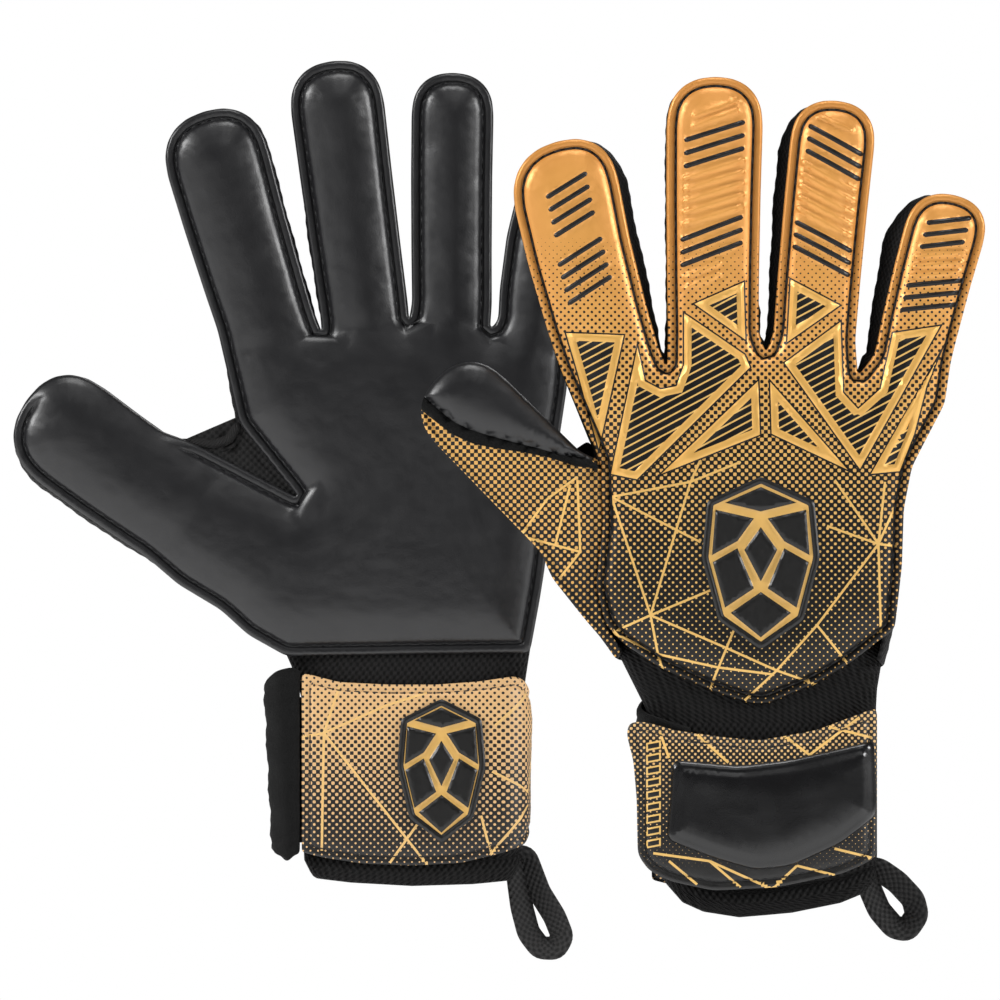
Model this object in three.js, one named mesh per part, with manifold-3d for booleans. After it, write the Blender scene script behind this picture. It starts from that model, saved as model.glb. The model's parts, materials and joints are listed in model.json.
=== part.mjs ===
// A pair of goalkeeper gloves, upright as worn, fingers up: the left one shows its latex palm and the
// right one, standing in front of it, its foam backhand.
// Millimetres. +X runs from the thumb side to the little finger side, +Z runs from the wrist to the
// fingertips, and the front is -Y. The origin is the middle of the left glove's wrist opening.
import * as THREE from 'three';
import Module from 'manifold-3d';

const wasm = await Module();
wasm.setup();

// ---- Sizes ----
const GAP = 0.3; // between pieces that are sewn or pressed together
const SEAM = 0.5; // between a digit's panels and the hand's, at the fold
const EDGE_SOFTENING = 0.9; // bevel on the foam and latex edges

const HAND_HOLLOW = 11; // half the depth of the room for the hand
const DIGIT_HOLLOW = HAND_HOLLOW - 1.5; // half the depth of the room for a finger
const LATEX_THICKNESS = 4.2; // palm latex on its foam backing
const BACK_THICKNESS = 4.0; // backhand foam
const GUSSET_WALL = 1.4;
const GUSSET_INSET = 2.5; // from a panel's edge, which makes the sewn flange
const WEB_PLATE = 1.5; // the thumb web's face on the palm side

const CUFF_HALF_WIDTH = 36;
const CUFF_HALF_DEPTH = HAND_HOLLOW;
const CUFF_WALL = 2;
const CUFF_HEIGHT = 84;
const CUFF_CORNER = 8;

const STRAP_THICKNESS = 2.0;
const STRAP_BOTTOM = 9.5;
const STRAP_PALM_HEIGHT = 56.5;
const STRAP_FLAP_HEIGHT = 48;
const STRAP_FLAP_OVERHANG = 5.5; // how far its free end stands past the cuff on the thumb side
const FLAP_CORNER = 7;
const WRAP_RETURN = 22; // how far the palm part comes round onto the back
const CLOSURE_THICKNESS = 1.1;
const CLOSURE_REACH = 10; // how far the tab stands out past the cuff
const CLOSURE_ONTO_BACK = 12;
const CLOSURE_HEIGHT = 52;
const HOOK_THICKNESS = 0.7;
const HOOK_LENGTH = 24;
const HOOK_MARGIN = 4.5; // from the flap's edges
const PAD_THICKNESS = 2.0;
const PAD_WIDTH = 65.5;
const PAD_HEIGHT = 34;
const PAD_BASE = 16;
const PAD_CORNER = 4;
const PAD_MARGIN = 1.5; // from the flap's hinge end
const PAD_SOFTENING = 0.6;

const BADGE_THICKNESS = 1.5;
const BACK_BADGE = { x: -1.6, z: 111.7, halfWidth: 22, halfHeight: 28 };
const STRAP_BADGE = { x: 9.7, z: 36.5, halfWidth: 17, halfHeight: 24 };
const BADGE_SHOULDER = 0.52; // share of the half height where the badge's sides end
const BADGE_FOOT = 0.86; // share of the half width left at the lower shoulders
const BADGE_SOFTENING = 0.5;

const LOOP_LENGTH = 27; // from its stitched end to the middle of its round end
const LOOP_RADIUS = 8;
const LOOP_WEBBING = 1.7;
const LOOP_WIDTH = 9;
const LOOP_HOLE_START = 8;
const LOOP_LEAN = 24; // degrees out from straight down
const LOOP_CLEAR = 2.4; // from the cuff's side to the middle of the loop's stitched end

const TIP_STEPS = 10; // straight pieces round a fingertip
const CORNER_STEPS = 5;
const LOOP_STEPS = 16; // round the pull loop's end
const NOSE_STEPS = 8; // round the closure tab's fold

// Each digit: its length from the fold to the tip, and half its width at the fold and at the tip.
const DIGITS = {
  thumb: { length: 69, foldHalf: 18.4, tipHalf: 17.6 },
  index: { length: 80.5, foldHalf: 15.8, tipHalf: 17.2 },
  middle: { length: 89.3, foldHalf: 14.2, tipHalf: 15.2 },
  ring: { length: 83, foldHalf: 13.2, tipHalf: 13.8 },
  pinky: { length: 64, foldHalf: 12.0, tipHalf: 12.9 },
};

// Where each glove stands, which way its palm looks, and where each digit folds and how far it leans
// from upright towards the little finger side. The edge lists run down the hand's two sides.
const GLOVES = {
  left: {
    at: { x: 0, y: 0, z: 0 },
    palmLooks: -1,
    folds: {
      thumb: { x: -73, z: 119.4, lean: -55 },
      index: { x: -45.6, z: 176.3, lean: -16.5 },
      middle: { x: -14.9, z: 181.5, lean: -6.8 },
      ring: { x: 13.2, z: 183.2, lean: 1.2 },
      pinky: { x: 39.9, z: 174.9, lean: 11.5 },
    },
    thumbNarrowing: 0,
    heelEdge: [[-76.5, 97.5], [-62.4, 90.1], [-52.8, 81.5]],
    littleEdge: [[50.6, 159], [48.6, 146], [42.9, 97.4]],
    webNotch: [-37.3, 126.1],
    webEdge: [[-65.5, 146.2], [-59.6, 148.6]],
    indexEdge: [-57.4, 154.8],
  },
  right: {
    at: { x: 114.1, y: -160, z: -6.2 },
    palmLooks: 1,
    folds: {
      thumb: { x: -56.5, z: 122, lean: -45 },
      index: { x: -47.2, z: 168.5, lean: -15 },
      middle: { x: -16.7, z: 178, lean: 0.3 },
      ring: { x: 15.1, z: 177, lean: 5.6 },
      pinky: { x: 45.3, z: 168.5, lean: 13.5 },
    },
    thumbNarrowing: 2.4,
    heelEdge: [[-67, 107], [-57.1, 94.4], [-50.5, 85.5]],
    littleEdge: [[58, 160], [48.2, 142.2], [43.8, 110.4], [42, 94]],
    webNotch: [-36, 128.5],
    webEdge: [[-57.6, 147.2], [-56.6, 149.6]],
    indexEdge: [-56.4, 154],
  },
};

// The palm panel overlaps the cuff's top by PALM_LAP, and is a little wider than the cuff there.
const PALM_LAP = 9;
const PALM_BOTTOM = [
  [CUFF_HALF_WIDTH + 3.5, CUFF_HEIGHT],
  [CUFF_HALF_WIDTH + 2.5, CUFF_HEIGHT - PALM_LAP],
  [-CUFF_HALF_WIDTH - 5.5, CUFF_HEIGHT - PALM_LAP],
];
const BACK_PANEL_POINT = { x: 0, z: 65.5 }; // the backhand's lowest point, over the cuff
const BACK_PANEL_SHOULDERS = [[-38, 80], [31, 82]];

// ---- Materials ----
const finish = (name, color, roughness, metalness = 0) => {
  const material = new THREE.MeshStandardMaterial({ color, roughness, metalness });
  material.name = name;
  return material;
};
const materials = {
  latex: finish('palm_latex', 0x1d1d1f, 0.55),
  foam: finish('backhand_foam', 0xd6914a, 0.45),
  mesh: finish('gusset_mesh', 0x151515, 0.9),
  knit: finish('cuff_knit', 0x171717, 0.95),
  strap: finish('strap_textile', 0x8a6a3c, 0.7),
  gloss: finish('strap_pad_gloss', 0x0b0b0c, 0.12),
  hook: finish('fastener_hook', 0x202020, 1.0),
  pile: finish('fastener_pile', 0x262626, 1.0),
  webbing: finish('webbing', 0x161616, 0.9),
  badge: finish('badge_rubber', 0x101011, 0.4),
};

const group = new THREE.Group();
group.name = 'goalkeeper_gloves';

const add = (name, geometry, material) => {
  const mesh = new THREE.Mesh(geometry, material);
  mesh.name = name;
  group.add(mesh);
};

// ---- Helpers ----
const radians = (degrees) => degrees * Math.PI / 180;

const corners = (points) => points.map(([x, y]) => new THREE.Vector2(x, y));

// A flat outline, taken anticlockwise, with an optional hole.
const toShape = (points, hole) => {
  const outline = corners(points);
  const shape = new THREE.Shape(THREE.ShapeUtils.isClockWise(outline) ? outline.reverse() : outline);
  if (hole) shape.holes.push(new THREE.Path(corners(hole)));
  return shape;
};

const arc = (x, y, radius, from, to, steps) => {
  const points = [];
  for (let i = 0; i <= steps; i += 1) {
    const turn = radians(from + (to - from) * i / steps);
    points.push([x + radius * Math.cos(turn), y + radius * Math.sin(turn)]);
  }
  return points;
};

// A flat piece that lies in the glove's face. Its near and far faces are given as depths towards the
// palm from the glove's middle plane, so a backhand piece has negative ones.
const facePiece = (glove, points, fromDepth, toDepth, softening = 0, hole = null) => {
  const low = Math.min(glove.palmLooks * fromDepth, glove.palmLooks * toDepth);
  const high = Math.max(glove.palmLooks * fromDepth, glove.palmLooks * toDepth);
  const geometry = new THREE.ExtrudeGeometry(toShape(points, hole), {
    depth: high - low - 2 * softening,
    bevelEnabled: softening > 0,
    bevelThickness: softening,
    bevelSize: softening,
    bevelOffset: -softening,
    bevelSegments: 1,
  });
  geometry.rotateX(Math.PI / 2);
  geometry.translate(glove.at.x, glove.at.y + high - softening, glove.at.z);
  return geometry;
};

// A piece that runs up the wrist: its section lies across the wrist, with depths towards the palm.
const wristPiece = (glove, section, bottom, height, hole = null) => {
  const turned = (points) => points.map(([x, depth]) => [x, glove.palmLooks * depth]);
  const shape = toShape(turned(section), hole && turned(hole));
  const geometry = new THREE.ExtrudeGeometry(shape, { depth: height, bevelEnabled: false });
  geometry.translate(glove.at.x, glove.at.y, glove.at.z + bottom);
  return geometry;
};

const roundedBox = (halfWidth, halfDepth, corner, steps = CORNER_STEPS) => [
  ...arc(halfWidth - corner, halfDepth - corner, corner, 0, 90, steps),
  ...arc(corner - halfWidth, halfDepth - corner, corner, 90, 180, steps),
  ...arc(corner - halfWidth, corner - halfDepth, corner, 180, 270, steps),
  ...arc(halfWidth - corner, corner - halfDepth, corner, 270, 360, steps),
];

const toSolid = (geometry) => {
  const source = geometry.index ? geometry.toNonIndexed() : geometry;
  const mesh = new wasm.Mesh({
    numProp: 3,
    vertProperties: new Float32Array(source.attributes.position.array),
    triVerts: new Uint32Array([...Array(source.attributes.position.count).keys()]),
  });
  mesh.merge();
  return new wasm.Manifold(mesh);
};

const fromSolid = (solid) => {
  const mesh = solid.getMesh();
  const geometry = new THREE.BufferGeometry();
  geometry.setAttribute('position', new THREE.BufferAttribute(mesh.vertProperties, 3));
  geometry.setIndex(new THREE.BufferAttribute(mesh.triVerts, 1));
  geometry.computeVertexNormals();
  return geometry;
};

const join = (first, second) => fromSolid(toSolid(first).add(toSolid(second)));

// ---- Digits ----
// A point of a digit in the glove's face: across it from its middle line, and along it from the fold.
const onDigit = (fold, across, along) => {
  const turn = radians(fold.lean);
  return [
    fold.x + across * Math.cos(turn) + along * Math.sin(turn),
    fold.z - across * Math.sin(turn) + along * Math.cos(turn),
  ];
};

const digitSize = (glove, name) => {
  const size = { ...DIGITS[name] };
  if (name === 'thumb') {
    size.foldHalf -= glove.thumbNarrowing;
    size.tipHalf -= glove.thumbNarrowing;
  }
  return size;
};

// The edge of a digit's panel, from the fold up one side, round the tip and down the other side.
const digitEdge = (fold, size, inset, from) => {
  const tipHalf = size.tipHalf - inset;
  const points = [onDigit(fold, -(size.foldHalf - inset), from)];
  for (const [across, up] of arc(0, 0, tipHalf, 180, 0, TIP_STEPS)) {
    points.push(onDigit(fold, across, size.length - size.tipHalf + up));
  }
  points.push(onDigit(fold, size.foldHalf - inset, from));
  return points;
};

const addDigit = (side, glove, name) => {
  const fold = glove.folds[name];
  const size = digitSize(glove, name);
  const start = SEAM / 2;
  const outline = digitEdge(fold, size, 0, start);
  const inner = DIGIT_HOLLOW + GAP;
  const latex = facePiece(glove, outline, inner, inner + LATEX_THICKNESS, EDGE_SOFTENING);
  const back = facePiece(glove, outline, -inner, -inner - BACK_THICKNESS, EDGE_SOFTENING);
  const wall = [
    ...digitEdge(fold, size, GUSSET_INSET, start),
    ...digitEdge(fold, size, GUSSET_INSET + GUSSET_WALL, start).reverse(),
  ];
  const gusset = facePiece(glove, wall, -DIGIT_HOLLOW, DIGIT_HOLLOW);
  add(`${side}_${name}_latex`, latex, materials.latex);
  add(`${side}_${name}_back`, back, materials.foam);
  add(`${side}_${name}_gusset`, gusset, materials.mesh);
};

// ---- Hand ----
const foldCorners = (glove, name, clear = 0) => {
  const half = digitSize(glove, name).foldHalf;
  const fold = glove.folds[name];
  return [onDigit(fold, -half, -SEAM / 2), onDigit(fold, half + clear, -SEAM / 2)];
};

const FINGERS = ['index', 'middle', 'ring', 'pinky'];

const fingerFolds = (glove) => FINGERS.flatMap((name) => foldCorners(glove, name));

const palmOutline = (glove) => [
  ...PALM_BOTTOM,
  ...glove.heelEdge.toReversed(),
  ...foldCorners(glove, 'thumb'),
  glove.webNotch,
  glove.indexEdge,
  ...fingerFolds(glove),
  ...glove.littleEdge,
];

const backOutline = (glove) => [
  [BACK_PANEL_POINT.x, BACK_PANEL_POINT.z],
  BACK_PANEL_SHOULDERS[0],
  ...glove.heelEdge.toReversed(),
  ...foldCorners(glove, 'thumb', SEAM),
  ...glove.webEdge,
  glove.indexEdge,
  ...fingerFolds(glove),
  ...glove.littleEdge,
  BACK_PANEL_SHOULDERS[1],
];

// A wall that follows the given line on its inner side.
const lineWall = (line, inset) => {
  const shifted = (distance) => line.map((point, i) => {
    const before = line[Math.max(i - 1, 0)];
    const after = line[Math.min(i + 1, line.length - 1)];
    const dx = after[0] - before[0];
    const dz = after[1] - before[1];
    const length = Math.hypot(dx, dz);
    return [point[0] - dz / length * distance, point[1] + dx / length * distance];
  });
  return [...shifted(inset), ...shifted(inset + GUSSET_WALL).reverse()];
};

const addHand = (side, glove) => {
  const inner = HAND_HOLLOW + GAP;
  add(`${side}_palm_latex`,
    facePiece(glove, palmOutline(glove), inner, inner + LATEX_THICKNESS, EDGE_SOFTENING), materials.latex);
  add(`${side}_backhand_panel`,
    facePiece(glove, backOutline(glove), -inner, -inner - BACK_THICKNESS, EDGE_SOFTENING), materials.foam);

  const littleFold = foldCorners(glove, 'pinky')[1];
  const aboveCuff = CUFF_HEIGHT + GAP;
  const littleLine = [
    [littleFold[0] + 0.2, littleFold[1] - 0.5],
    ...glove.littleEdge,
    [CUFF_HALF_WIDTH + 4.2, aboveCuff + 2],
    [CUFF_HALF_WIDTH + 4.2, aboveCuff],
  ];
  const littleWall = lineWall(littleLine, -GUSSET_INSET - GUSSET_WALL);
  add(`${side}_little_side_gusset`, facePiece(glove, littleWall, -HAND_HOLLOW, HAND_HOLLOW), materials.mesh);

  const thumbFold = foldCorners(glove, 'thumb')[0];
  const heelLine = [
    [thumbFold[0] + 0.2, thumbFold[1] - 0.5],
    ...glove.heelEdge.slice(1),
    PALM_BOTTOM.at(-1),
  ];
  const heelWall = lineWall(heelLine, GUSSET_INSET);
  add(`${side}_heel_gusset`, facePiece(glove, heelWall, -HAND_HOLLOW, HAND_HOLLOW), materials.mesh);

  const thumb = digitSize(glove, 'thumb');
  const clear = thumb.foldHalf + SEAM;
  const besideThumb = onDigit(glove.folds.thumb, clear, SEAM);
  const besideThumbTop = onDigit(glove.folds.thumb, clear, glove.thumbNarrowing > 0 ? 6 : 13);
  const [notchX, notchZ] = glove.webNotch;
  const tip = [notchX - 2.2, notchZ + 1.7];
  const [edgeX, edgeZ] = glove.indexEdge;
  const webFace = [tip, besideThumb, besideThumbTop, ...glove.webEdge, [edgeX - 0.8, edgeZ - 1.6]];
  const webLine = [besideThumb, besideThumbTop, ...glove.webEdge, [edgeX - 0.6, edgeZ - 1.4]];
  const face = facePiece(glove, webFace, HAND_HOLLOW - WEB_PLATE, HAND_HOLLOW);
  const wall = facePiece(glove, lineWall(webLine, -GUSSET_WALL), -HAND_HOLLOW, HAND_HOLLOW);
  add(`${side}_thumb_web_gusset`, join(face, wall), materials.mesh);
};

// ---- Wrist ----
const addWrist = (side, glove) => {
  const cuffOuter = roundedBox(CUFF_HALF_WIDTH, CUFF_HALF_DEPTH, CUFF_CORNER);
  const cuffInner = roundedBox(
    CUFF_HALF_WIDTH - CUFF_WALL, CUFF_HALF_DEPTH - CUFF_WALL, CUFF_CORNER - CUFF_WALL);
  add(`${side}_wrist_cuff`, wristPiece(glove, cuffOuter, 0, CUFF_HEIGHT, cuffInner), materials.knit);

  // The strap's palm part lies on the cuff and comes round its little finger side onto the back.
  const x = CUFF_HALF_WIDTH - CUFF_CORNER;
  const depth = CUFF_HALF_DEPTH - CUFF_CORNER;
  const under = CUFF_CORNER + GAP;
  const over = under + STRAP_THICKNESS;
  const wrapEnd = 0.5 - CUFF_HALF_WIDTH;
  const wrap = [
    [wrapEnd, depth + under],
    ...arc(x, depth, under, 90, 0, CORNER_STEPS),
    ...arc(x, -depth, under, 0, -90, CORNER_STEPS),
    [WRAP_RETURN, -depth - under],
    [WRAP_RETURN, -depth - over],
    ...arc(x, -depth, over, -90, 0, CORNER_STEPS),
    ...arc(x, depth, over, 0, 90, CORNER_STEPS),
    [wrapEnd, depth + over],
  ];
  add(`${side}_strap_palm_part`, wristPiece(glove, wrap, STRAP_BOTTOM, STRAP_PALM_HEIGHT), materials.strap);

  // The closure tab is sewn to the palm part's end, stands out past the cuff and turns onto the back.
  const tabLow = CUFF_HALF_DEPTH + GAP;
  const tabHigh = tabLow + CLOSURE_THICKNESS;
  const noseMiddle = tabHigh / 2 - CUFF_HALF_WIDTH - CLOSURE_REACH;
  const nose = (reach, halfDepth, from, to) => arc(0, 0, 1, from, to, NOSE_STEPS).map(
    ([across, out]) => [noseMiddle + across * reach, out * halfDepth]);
  const tab = [
    [wrapEnd - GAP, tabHigh],
    ...nose(tabHigh / 2, tabHigh, 90, 270),
    [CLOSURE_ONTO_BACK - CUFF_HALF_WIDTH, -tabHigh],
    [CLOSURE_ONTO_BACK - CUFF_HALF_WIDTH, -tabLow],
    ...nose(tabHigh / 2 - CLOSURE_THICKNESS, tabLow, 270, 90),
    [wrapEnd - GAP, tabLow],
  ];
  add(`${side}_closure_tab`, wristPiece(glove, tab, STRAP_BOTTOM + 1, CLOSURE_HEIGHT), materials.pile);

  const flapInner = Math.max(depth + over, tabHigh + GAP + HOOK_THICKNESS) + GAP;
  const flapOuter = flapInner + STRAP_THICKNESS;
  const flapTop = STRAP_BOTTOM + STRAP_FLAP_HEIGHT;
  const freeEnd = CUFF_HALF_WIDTH + STRAP_FLAP_OVERHANG;
  const flap = [
    [CUFF_HALF_WIDTH, STRAP_BOTTOM],
    [CUFF_HALF_WIDTH, flapTop],
    ...arc(FLAP_CORNER - freeEnd, flapTop - FLAP_CORNER, FLAP_CORNER, 90, 180, CORNER_STEPS),
    ...arc(FLAP_CORNER - freeEnd, STRAP_BOTTOM + FLAP_CORNER, FLAP_CORNER, 180, 270, CORNER_STEPS),
  ];
  add(`${side}_strap_flap`, facePiece(glove, flap, -flapInner, -flapOuter), materials.strap);

  const hookOuter = flapInner - GAP;
  const hookStart = HOOK_MARGIN - freeEnd;
  const hook = [
    [hookStart, STRAP_BOTTOM + HOOK_MARGIN],
    [hookStart + HOOK_LENGTH, STRAP_BOTTOM + HOOK_MARGIN],
    [hookStart + HOOK_LENGTH, flapTop - HOOK_MARGIN],
    [hookStart, flapTop - HOOK_MARGIN],
  ];
  add(`${side}_hook_patch`, facePiece(glove, hook, HOOK_THICKNESS - hookOuter, -hookOuter), materials.hook);

  const padInner = flapOuter + GAP;
  const pad = roundedBox(PAD_WIDTH / 2, PAD_HEIGHT / 2, PAD_CORNER, 3).map(([px, pz]) => [
    px + CUFF_HALF_WIDTH - PAD_WIDTH / 2 - PAD_MARGIN, pz + PAD_BASE + PAD_HEIGHT / 2]);
  add(`${side}_strap_pad`,
    facePiece(glove, pad, -padInner, -padInner - PAD_THICKNESS, PAD_SOFTENING), materials.gloss);
};

// ---- Badges: a tall six-sided plate ----
const badgeOutline = ({ x, z, halfWidth, halfHeight }) => [
  [x, z + halfHeight],
  [x - halfWidth, z + halfHeight * BADGE_SHOULDER],
  [x - halfWidth * BADGE_FOOT, z - halfHeight * BADGE_SHOULDER],
  [x, z - halfHeight],
  [x + halfWidth * BADGE_FOOT, z - halfHeight * BADGE_SHOULDER],
  [x + halfWidth, z + halfHeight * BADGE_SHOULDER],
];

const addBadges = (side, glove) => {
  const plate = (outline, from, to) => facePiece(glove, outline, from, to, BADGE_SOFTENING);
  const onBack = HAND_HOLLOW + GAP + BACK_THICKNESS + GAP;
  add(`${side}_backhand_badge`,
    plate(badgeOutline(BACK_BADGE), -onBack, -onBack - BADGE_THICKNESS), materials.badge);
  const onStrap = CUFF_HALF_DEPTH + GAP + STRAP_THICKNESS + GAP;
  add(`${side}_strap_badge`,
    plate(badgeOutline(STRAP_BADGE), onStrap, onStrap + BADGE_THICKNESS), materials.badge);
};

// ---- Pull loop: folded webbing, a tear shape with a round end ----
const loopEnd = (radius) => arc(0, -LOOP_LENGTH, radius, 25, -205, LOOP_STEPS);

const addLoop = (side, glove) => {
  const turn = radians(LOOP_LEAN);
  const placed = (points) => points.map(([x, z]) => [
    CUFF_HALF_WIDTH + LOOP_CLEAR + x * Math.cos(turn) - z * Math.sin(turn),
    STRAP_BOTTOM - SEAM + x * Math.sin(turn) + z * Math.cos(turn),
  ]);
  const outer = placed([[LOOP_WEBBING, 0], ...loopEnd(LOOP_RADIUS), [-LOOP_WEBBING, 0]]);
  const inner = placed([[0, -LOOP_HOLE_START], ...loopEnd(LOOP_RADIUS - LOOP_WEBBING)]);
  add(`${side}_pull_loop`,
    facePiece(glove, outer, -LOOP_WIDTH / 2, LOOP_WIDTH / 2, 0, inner), materials.webbing);
};

for (const [side, glove] of Object.entries(GLOVES)) {
  addHand(side, glove);
  for (const name of Object.keys(DIGITS)) addDigit(side, glove, name);
  addWrist(side, glove);
  addBadges(side, glove);
  addLoop(side, glove);
}

export default group;
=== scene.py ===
"""Looks of a pair of goalkeeper gloves: latex palm, foam backhand, mesh gussets, knitted cuff and strap.

Sizes in the dataclasses are millimetres in each glove's own face: x from the thumb side to the little finger
side, z from the wrist up, and depth towards the palm. Hand.place turns them into metres in the row frame.
"""

import json
import logging
import math
from dataclasses import dataclass, field
from enum import Enum
from typing import Callable, Iterable, Sequence

import bpy
import numpy as np
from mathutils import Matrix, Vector, geometry


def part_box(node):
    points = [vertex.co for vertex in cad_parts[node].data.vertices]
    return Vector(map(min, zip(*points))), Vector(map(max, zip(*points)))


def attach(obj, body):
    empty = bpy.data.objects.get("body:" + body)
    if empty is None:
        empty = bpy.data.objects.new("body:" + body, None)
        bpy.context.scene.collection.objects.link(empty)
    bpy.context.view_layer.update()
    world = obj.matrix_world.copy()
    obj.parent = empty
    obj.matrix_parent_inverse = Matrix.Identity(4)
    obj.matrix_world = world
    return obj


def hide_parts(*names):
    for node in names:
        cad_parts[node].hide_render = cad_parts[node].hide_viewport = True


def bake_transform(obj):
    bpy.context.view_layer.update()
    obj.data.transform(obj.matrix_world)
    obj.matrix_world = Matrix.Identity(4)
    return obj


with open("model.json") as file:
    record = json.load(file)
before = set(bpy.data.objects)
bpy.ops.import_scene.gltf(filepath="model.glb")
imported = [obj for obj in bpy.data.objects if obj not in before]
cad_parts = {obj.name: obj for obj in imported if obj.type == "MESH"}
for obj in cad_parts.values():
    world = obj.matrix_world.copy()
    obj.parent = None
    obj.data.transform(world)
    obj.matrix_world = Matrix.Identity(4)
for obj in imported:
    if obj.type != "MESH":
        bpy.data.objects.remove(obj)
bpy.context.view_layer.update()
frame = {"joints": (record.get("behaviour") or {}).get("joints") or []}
LOG = logging.getLogger("gloves")
MM = 0.001


class Side(Enum):
    """Which hand a glove is for."""

    LEFT = "left"
    RIGHT = "right"


class Face(Enum):
    """Which way a panel looks: 1 towards the palm, -1 towards the back of the hand."""

    PALM = 1
    BACK = -1


class Zone(Enum):
    """What is printed on a panel's face."""

    GROUND = 0
    OUTLINE = 1
    FRAME = 2
    HATCH = 3
    GOLD = 4
    BLACK = 5


# ---------------------------------------------------------------- plane geometry


def run_along(points: np.ndarray) -> np.ndarray:
    """How far along a polyline each of its points is."""
    return np.concatenate([[0], np.cumsum(np.hypot(*np.diff(points, axis=0).T))])


def unit(vectors: np.ndarray) -> np.ndarray:
    """Vectors in rows, made one long."""
    return vectors / np.maximum(np.linalg.norm(vectors, axis=1), 1e-12)[:, None]


def evenly(points: Sequence, step: float, closed: bool = True) -> np.ndarray:
    """Points along a polyline, about step apart.

    Args:
        points: the polyline's corners.
        step: the distance wanted between points.
        closed: whether the last corner joins the first.
    Returns:
        The points, without a repeat of the first one.
    """
    pts = np.asarray(points, float)
    if closed:
        pts = np.vstack([pts, pts[:1]])
    run = run_along(pts)
    count = max(int(round(run[-1] / step)), 3)
    at = np.linspace(0, run[-1], count + 1)
    if closed:
        at = at[:-1]
    return np.column_stack([np.interp(at, run, pts[:, k]) for k in range(2)])


def softened(points: np.ndarray, reach: float, step: float, closed: bool = True) -> np.ndarray:
    """A polyline with its corners eased.

    Args:
        points: the polyline, evenly spaced.
        reach: how far the easing reaches, as a Gaussian's spread.
        step: the points' spacing.
        closed: whether it is an outline; an open line's ends stay straight.
    Returns:
        The eased polyline, with as many points.
    """
    half = max(int(3 * reach / step), 1)
    weights = np.exp(-0.5 * (np.arange(-half, half + 1) * step / reach) ** 2)
    weights /= weights.sum()
    before, after = points[-half:], points[:half]
    if not closed:
        before = points[0] + (points[0] - points[1]) * np.arange(half, 0, -1)[:, None]
        after = points[-1] + (points[-1] - points[-2]) * np.arange(1, half + 1)[:, None]
    around = np.vstack([before, points, after])
    return np.column_stack([np.convolve(around[:, k], weights, "valid") for k in range(2)])


def signed_area(points: np.ndarray) -> float:
    """A closed outline's area, positive when it runs anticlockwise."""
    x, z = points.T
    return 0.5 * float(np.sum(x * np.roll(z, -1) - z * np.roll(x, -1)))


def anticlockwise(points: np.ndarray) -> np.ndarray:
    """A closed outline, turned round if it runs clockwise."""
    return points if signed_area(points) > 0 else points[::-1]


def smooth_outline(points: Sequence, reach: float = 1.6) -> np.ndarray:
    """An anticlockwise outline resampled each millimetre with its corners eased."""
    return softened(anticlockwise(evenly(points, 1.0)), reach, 1.0)


def inside(points: np.ndarray, outline: np.ndarray) -> np.ndarray:
    """Which points lie within a closed outline."""
    result = np.zeros(len(points), bool)
    nxt = np.roll(outline, -1, axis=0)
    for (x0, z0), (x1, z1) in zip(outline, nxt):
        if z0 == z1:
            continue
        crosses = (points[:, 1] > z0) != (points[:, 1] > z1)
        at = (x1 - x0) * (points[:, 1] - z0) / (z1 - z0) + x0
        result ^= crosses & (points[:, 0] < at)
    return result


def away(points: np.ndarray, line: np.ndarray, closed: bool = True) -> np.ndarray:
    """Each point's distance from a polyline.

    Args:
        points: where to measure.
        line: the polyline's corners.
        closed: whether its last corner joins its first.
    Returns:
        The distances.
    """
    a = line if closed else line[:-1]
    b = np.roll(line, -1, axis=0) if closed else line[1:]
    ab = b - a
    length2 = np.maximum((ab**2).sum(1), 1e-12)
    out = np.empty(len(points))
    for k in range(0, len(points), 2000):
        p = points[k : k + 2000, None, :]
        t = np.clip(((p - a) * ab).sum(2) / length2, 0, 1)
        out[k : k + 2000] = np.sqrt((((a + t[..., None] * ab) - p) ** 2).sum(2).min(1))
    return out


def edge_normals(outline: np.ndarray) -> np.ndarray:
    """Outward unit normals of a closed anticlockwise outline at its points."""
    along = np.roll(outline, -1, axis=0) - np.roll(outline, 1, axis=0)
    normal = np.column_stack([along[:, 1], -along[:, 0]])
    return normal / np.maximum(np.hypot(*normal.T), 1e-9)[:, None]


def step_up(value: np.ndarray, low: float, high: float) -> np.ndarray:
    """A smooth step from 0 at low to 1 at high."""
    t = np.clip((np.asarray(value, float) - low) / (high - low), 0, 1)
    return t * t * (3 - 2 * t)


def rounded(share: np.ndarray) -> np.ndarray:
    """A quarter round, from 0 at 0 to 1 at 1."""
    return np.sqrt(1 - (1 - np.clip(share, 0, 1)) ** 2)


def bell(value: np.ndarray, middle: float, spread: float) -> np.ndarray:
    """A smooth bump of height 1 about middle."""
    return np.exp(-(((np.asarray(value, float) - middle) / spread) ** 2))


def bar(ends: Sequence, width: float, round_steps: int = 3) -> np.ndarray:
    """A straight bar with round ends, as a closed outline."""
    (x0, z0), (x1, z1) = ends
    turn = math.atan2(z1 - z0, x1 - x0)
    points = []
    for (x, z), start in (((x1, z1), -90), ((x0, z0), 90)):
        for k in range(round_steps + 1):
            angle = turn + math.radians(start + 180 * k / round_steps)
            points.append((x + width / 2 * math.cos(angle), z + width / 2 * math.sin(angle)))
    return np.array(points)


def shrunk(outline: np.ndarray, inset: float) -> np.ndarray:
    """A closed anticlockwise outline moved inwards, with its corners mitred."""
    d1, d2 = outline - np.roll(outline, 1, axis=0), np.roll(outline, -1, axis=0) - outline
    n1 = np.column_stack([-d1[:, 1], d1[:, 0]]) / np.hypot(*d1.T)[:, None]
    n2 = np.column_stack([-d2[:, 1], d2[:, 0]]) / np.hypot(*d2.T)[:, None]
    return outline + inset * (n1 + n2) / np.maximum(1 + (n1 * n2).sum(1), 0.03)[:, None]


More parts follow.
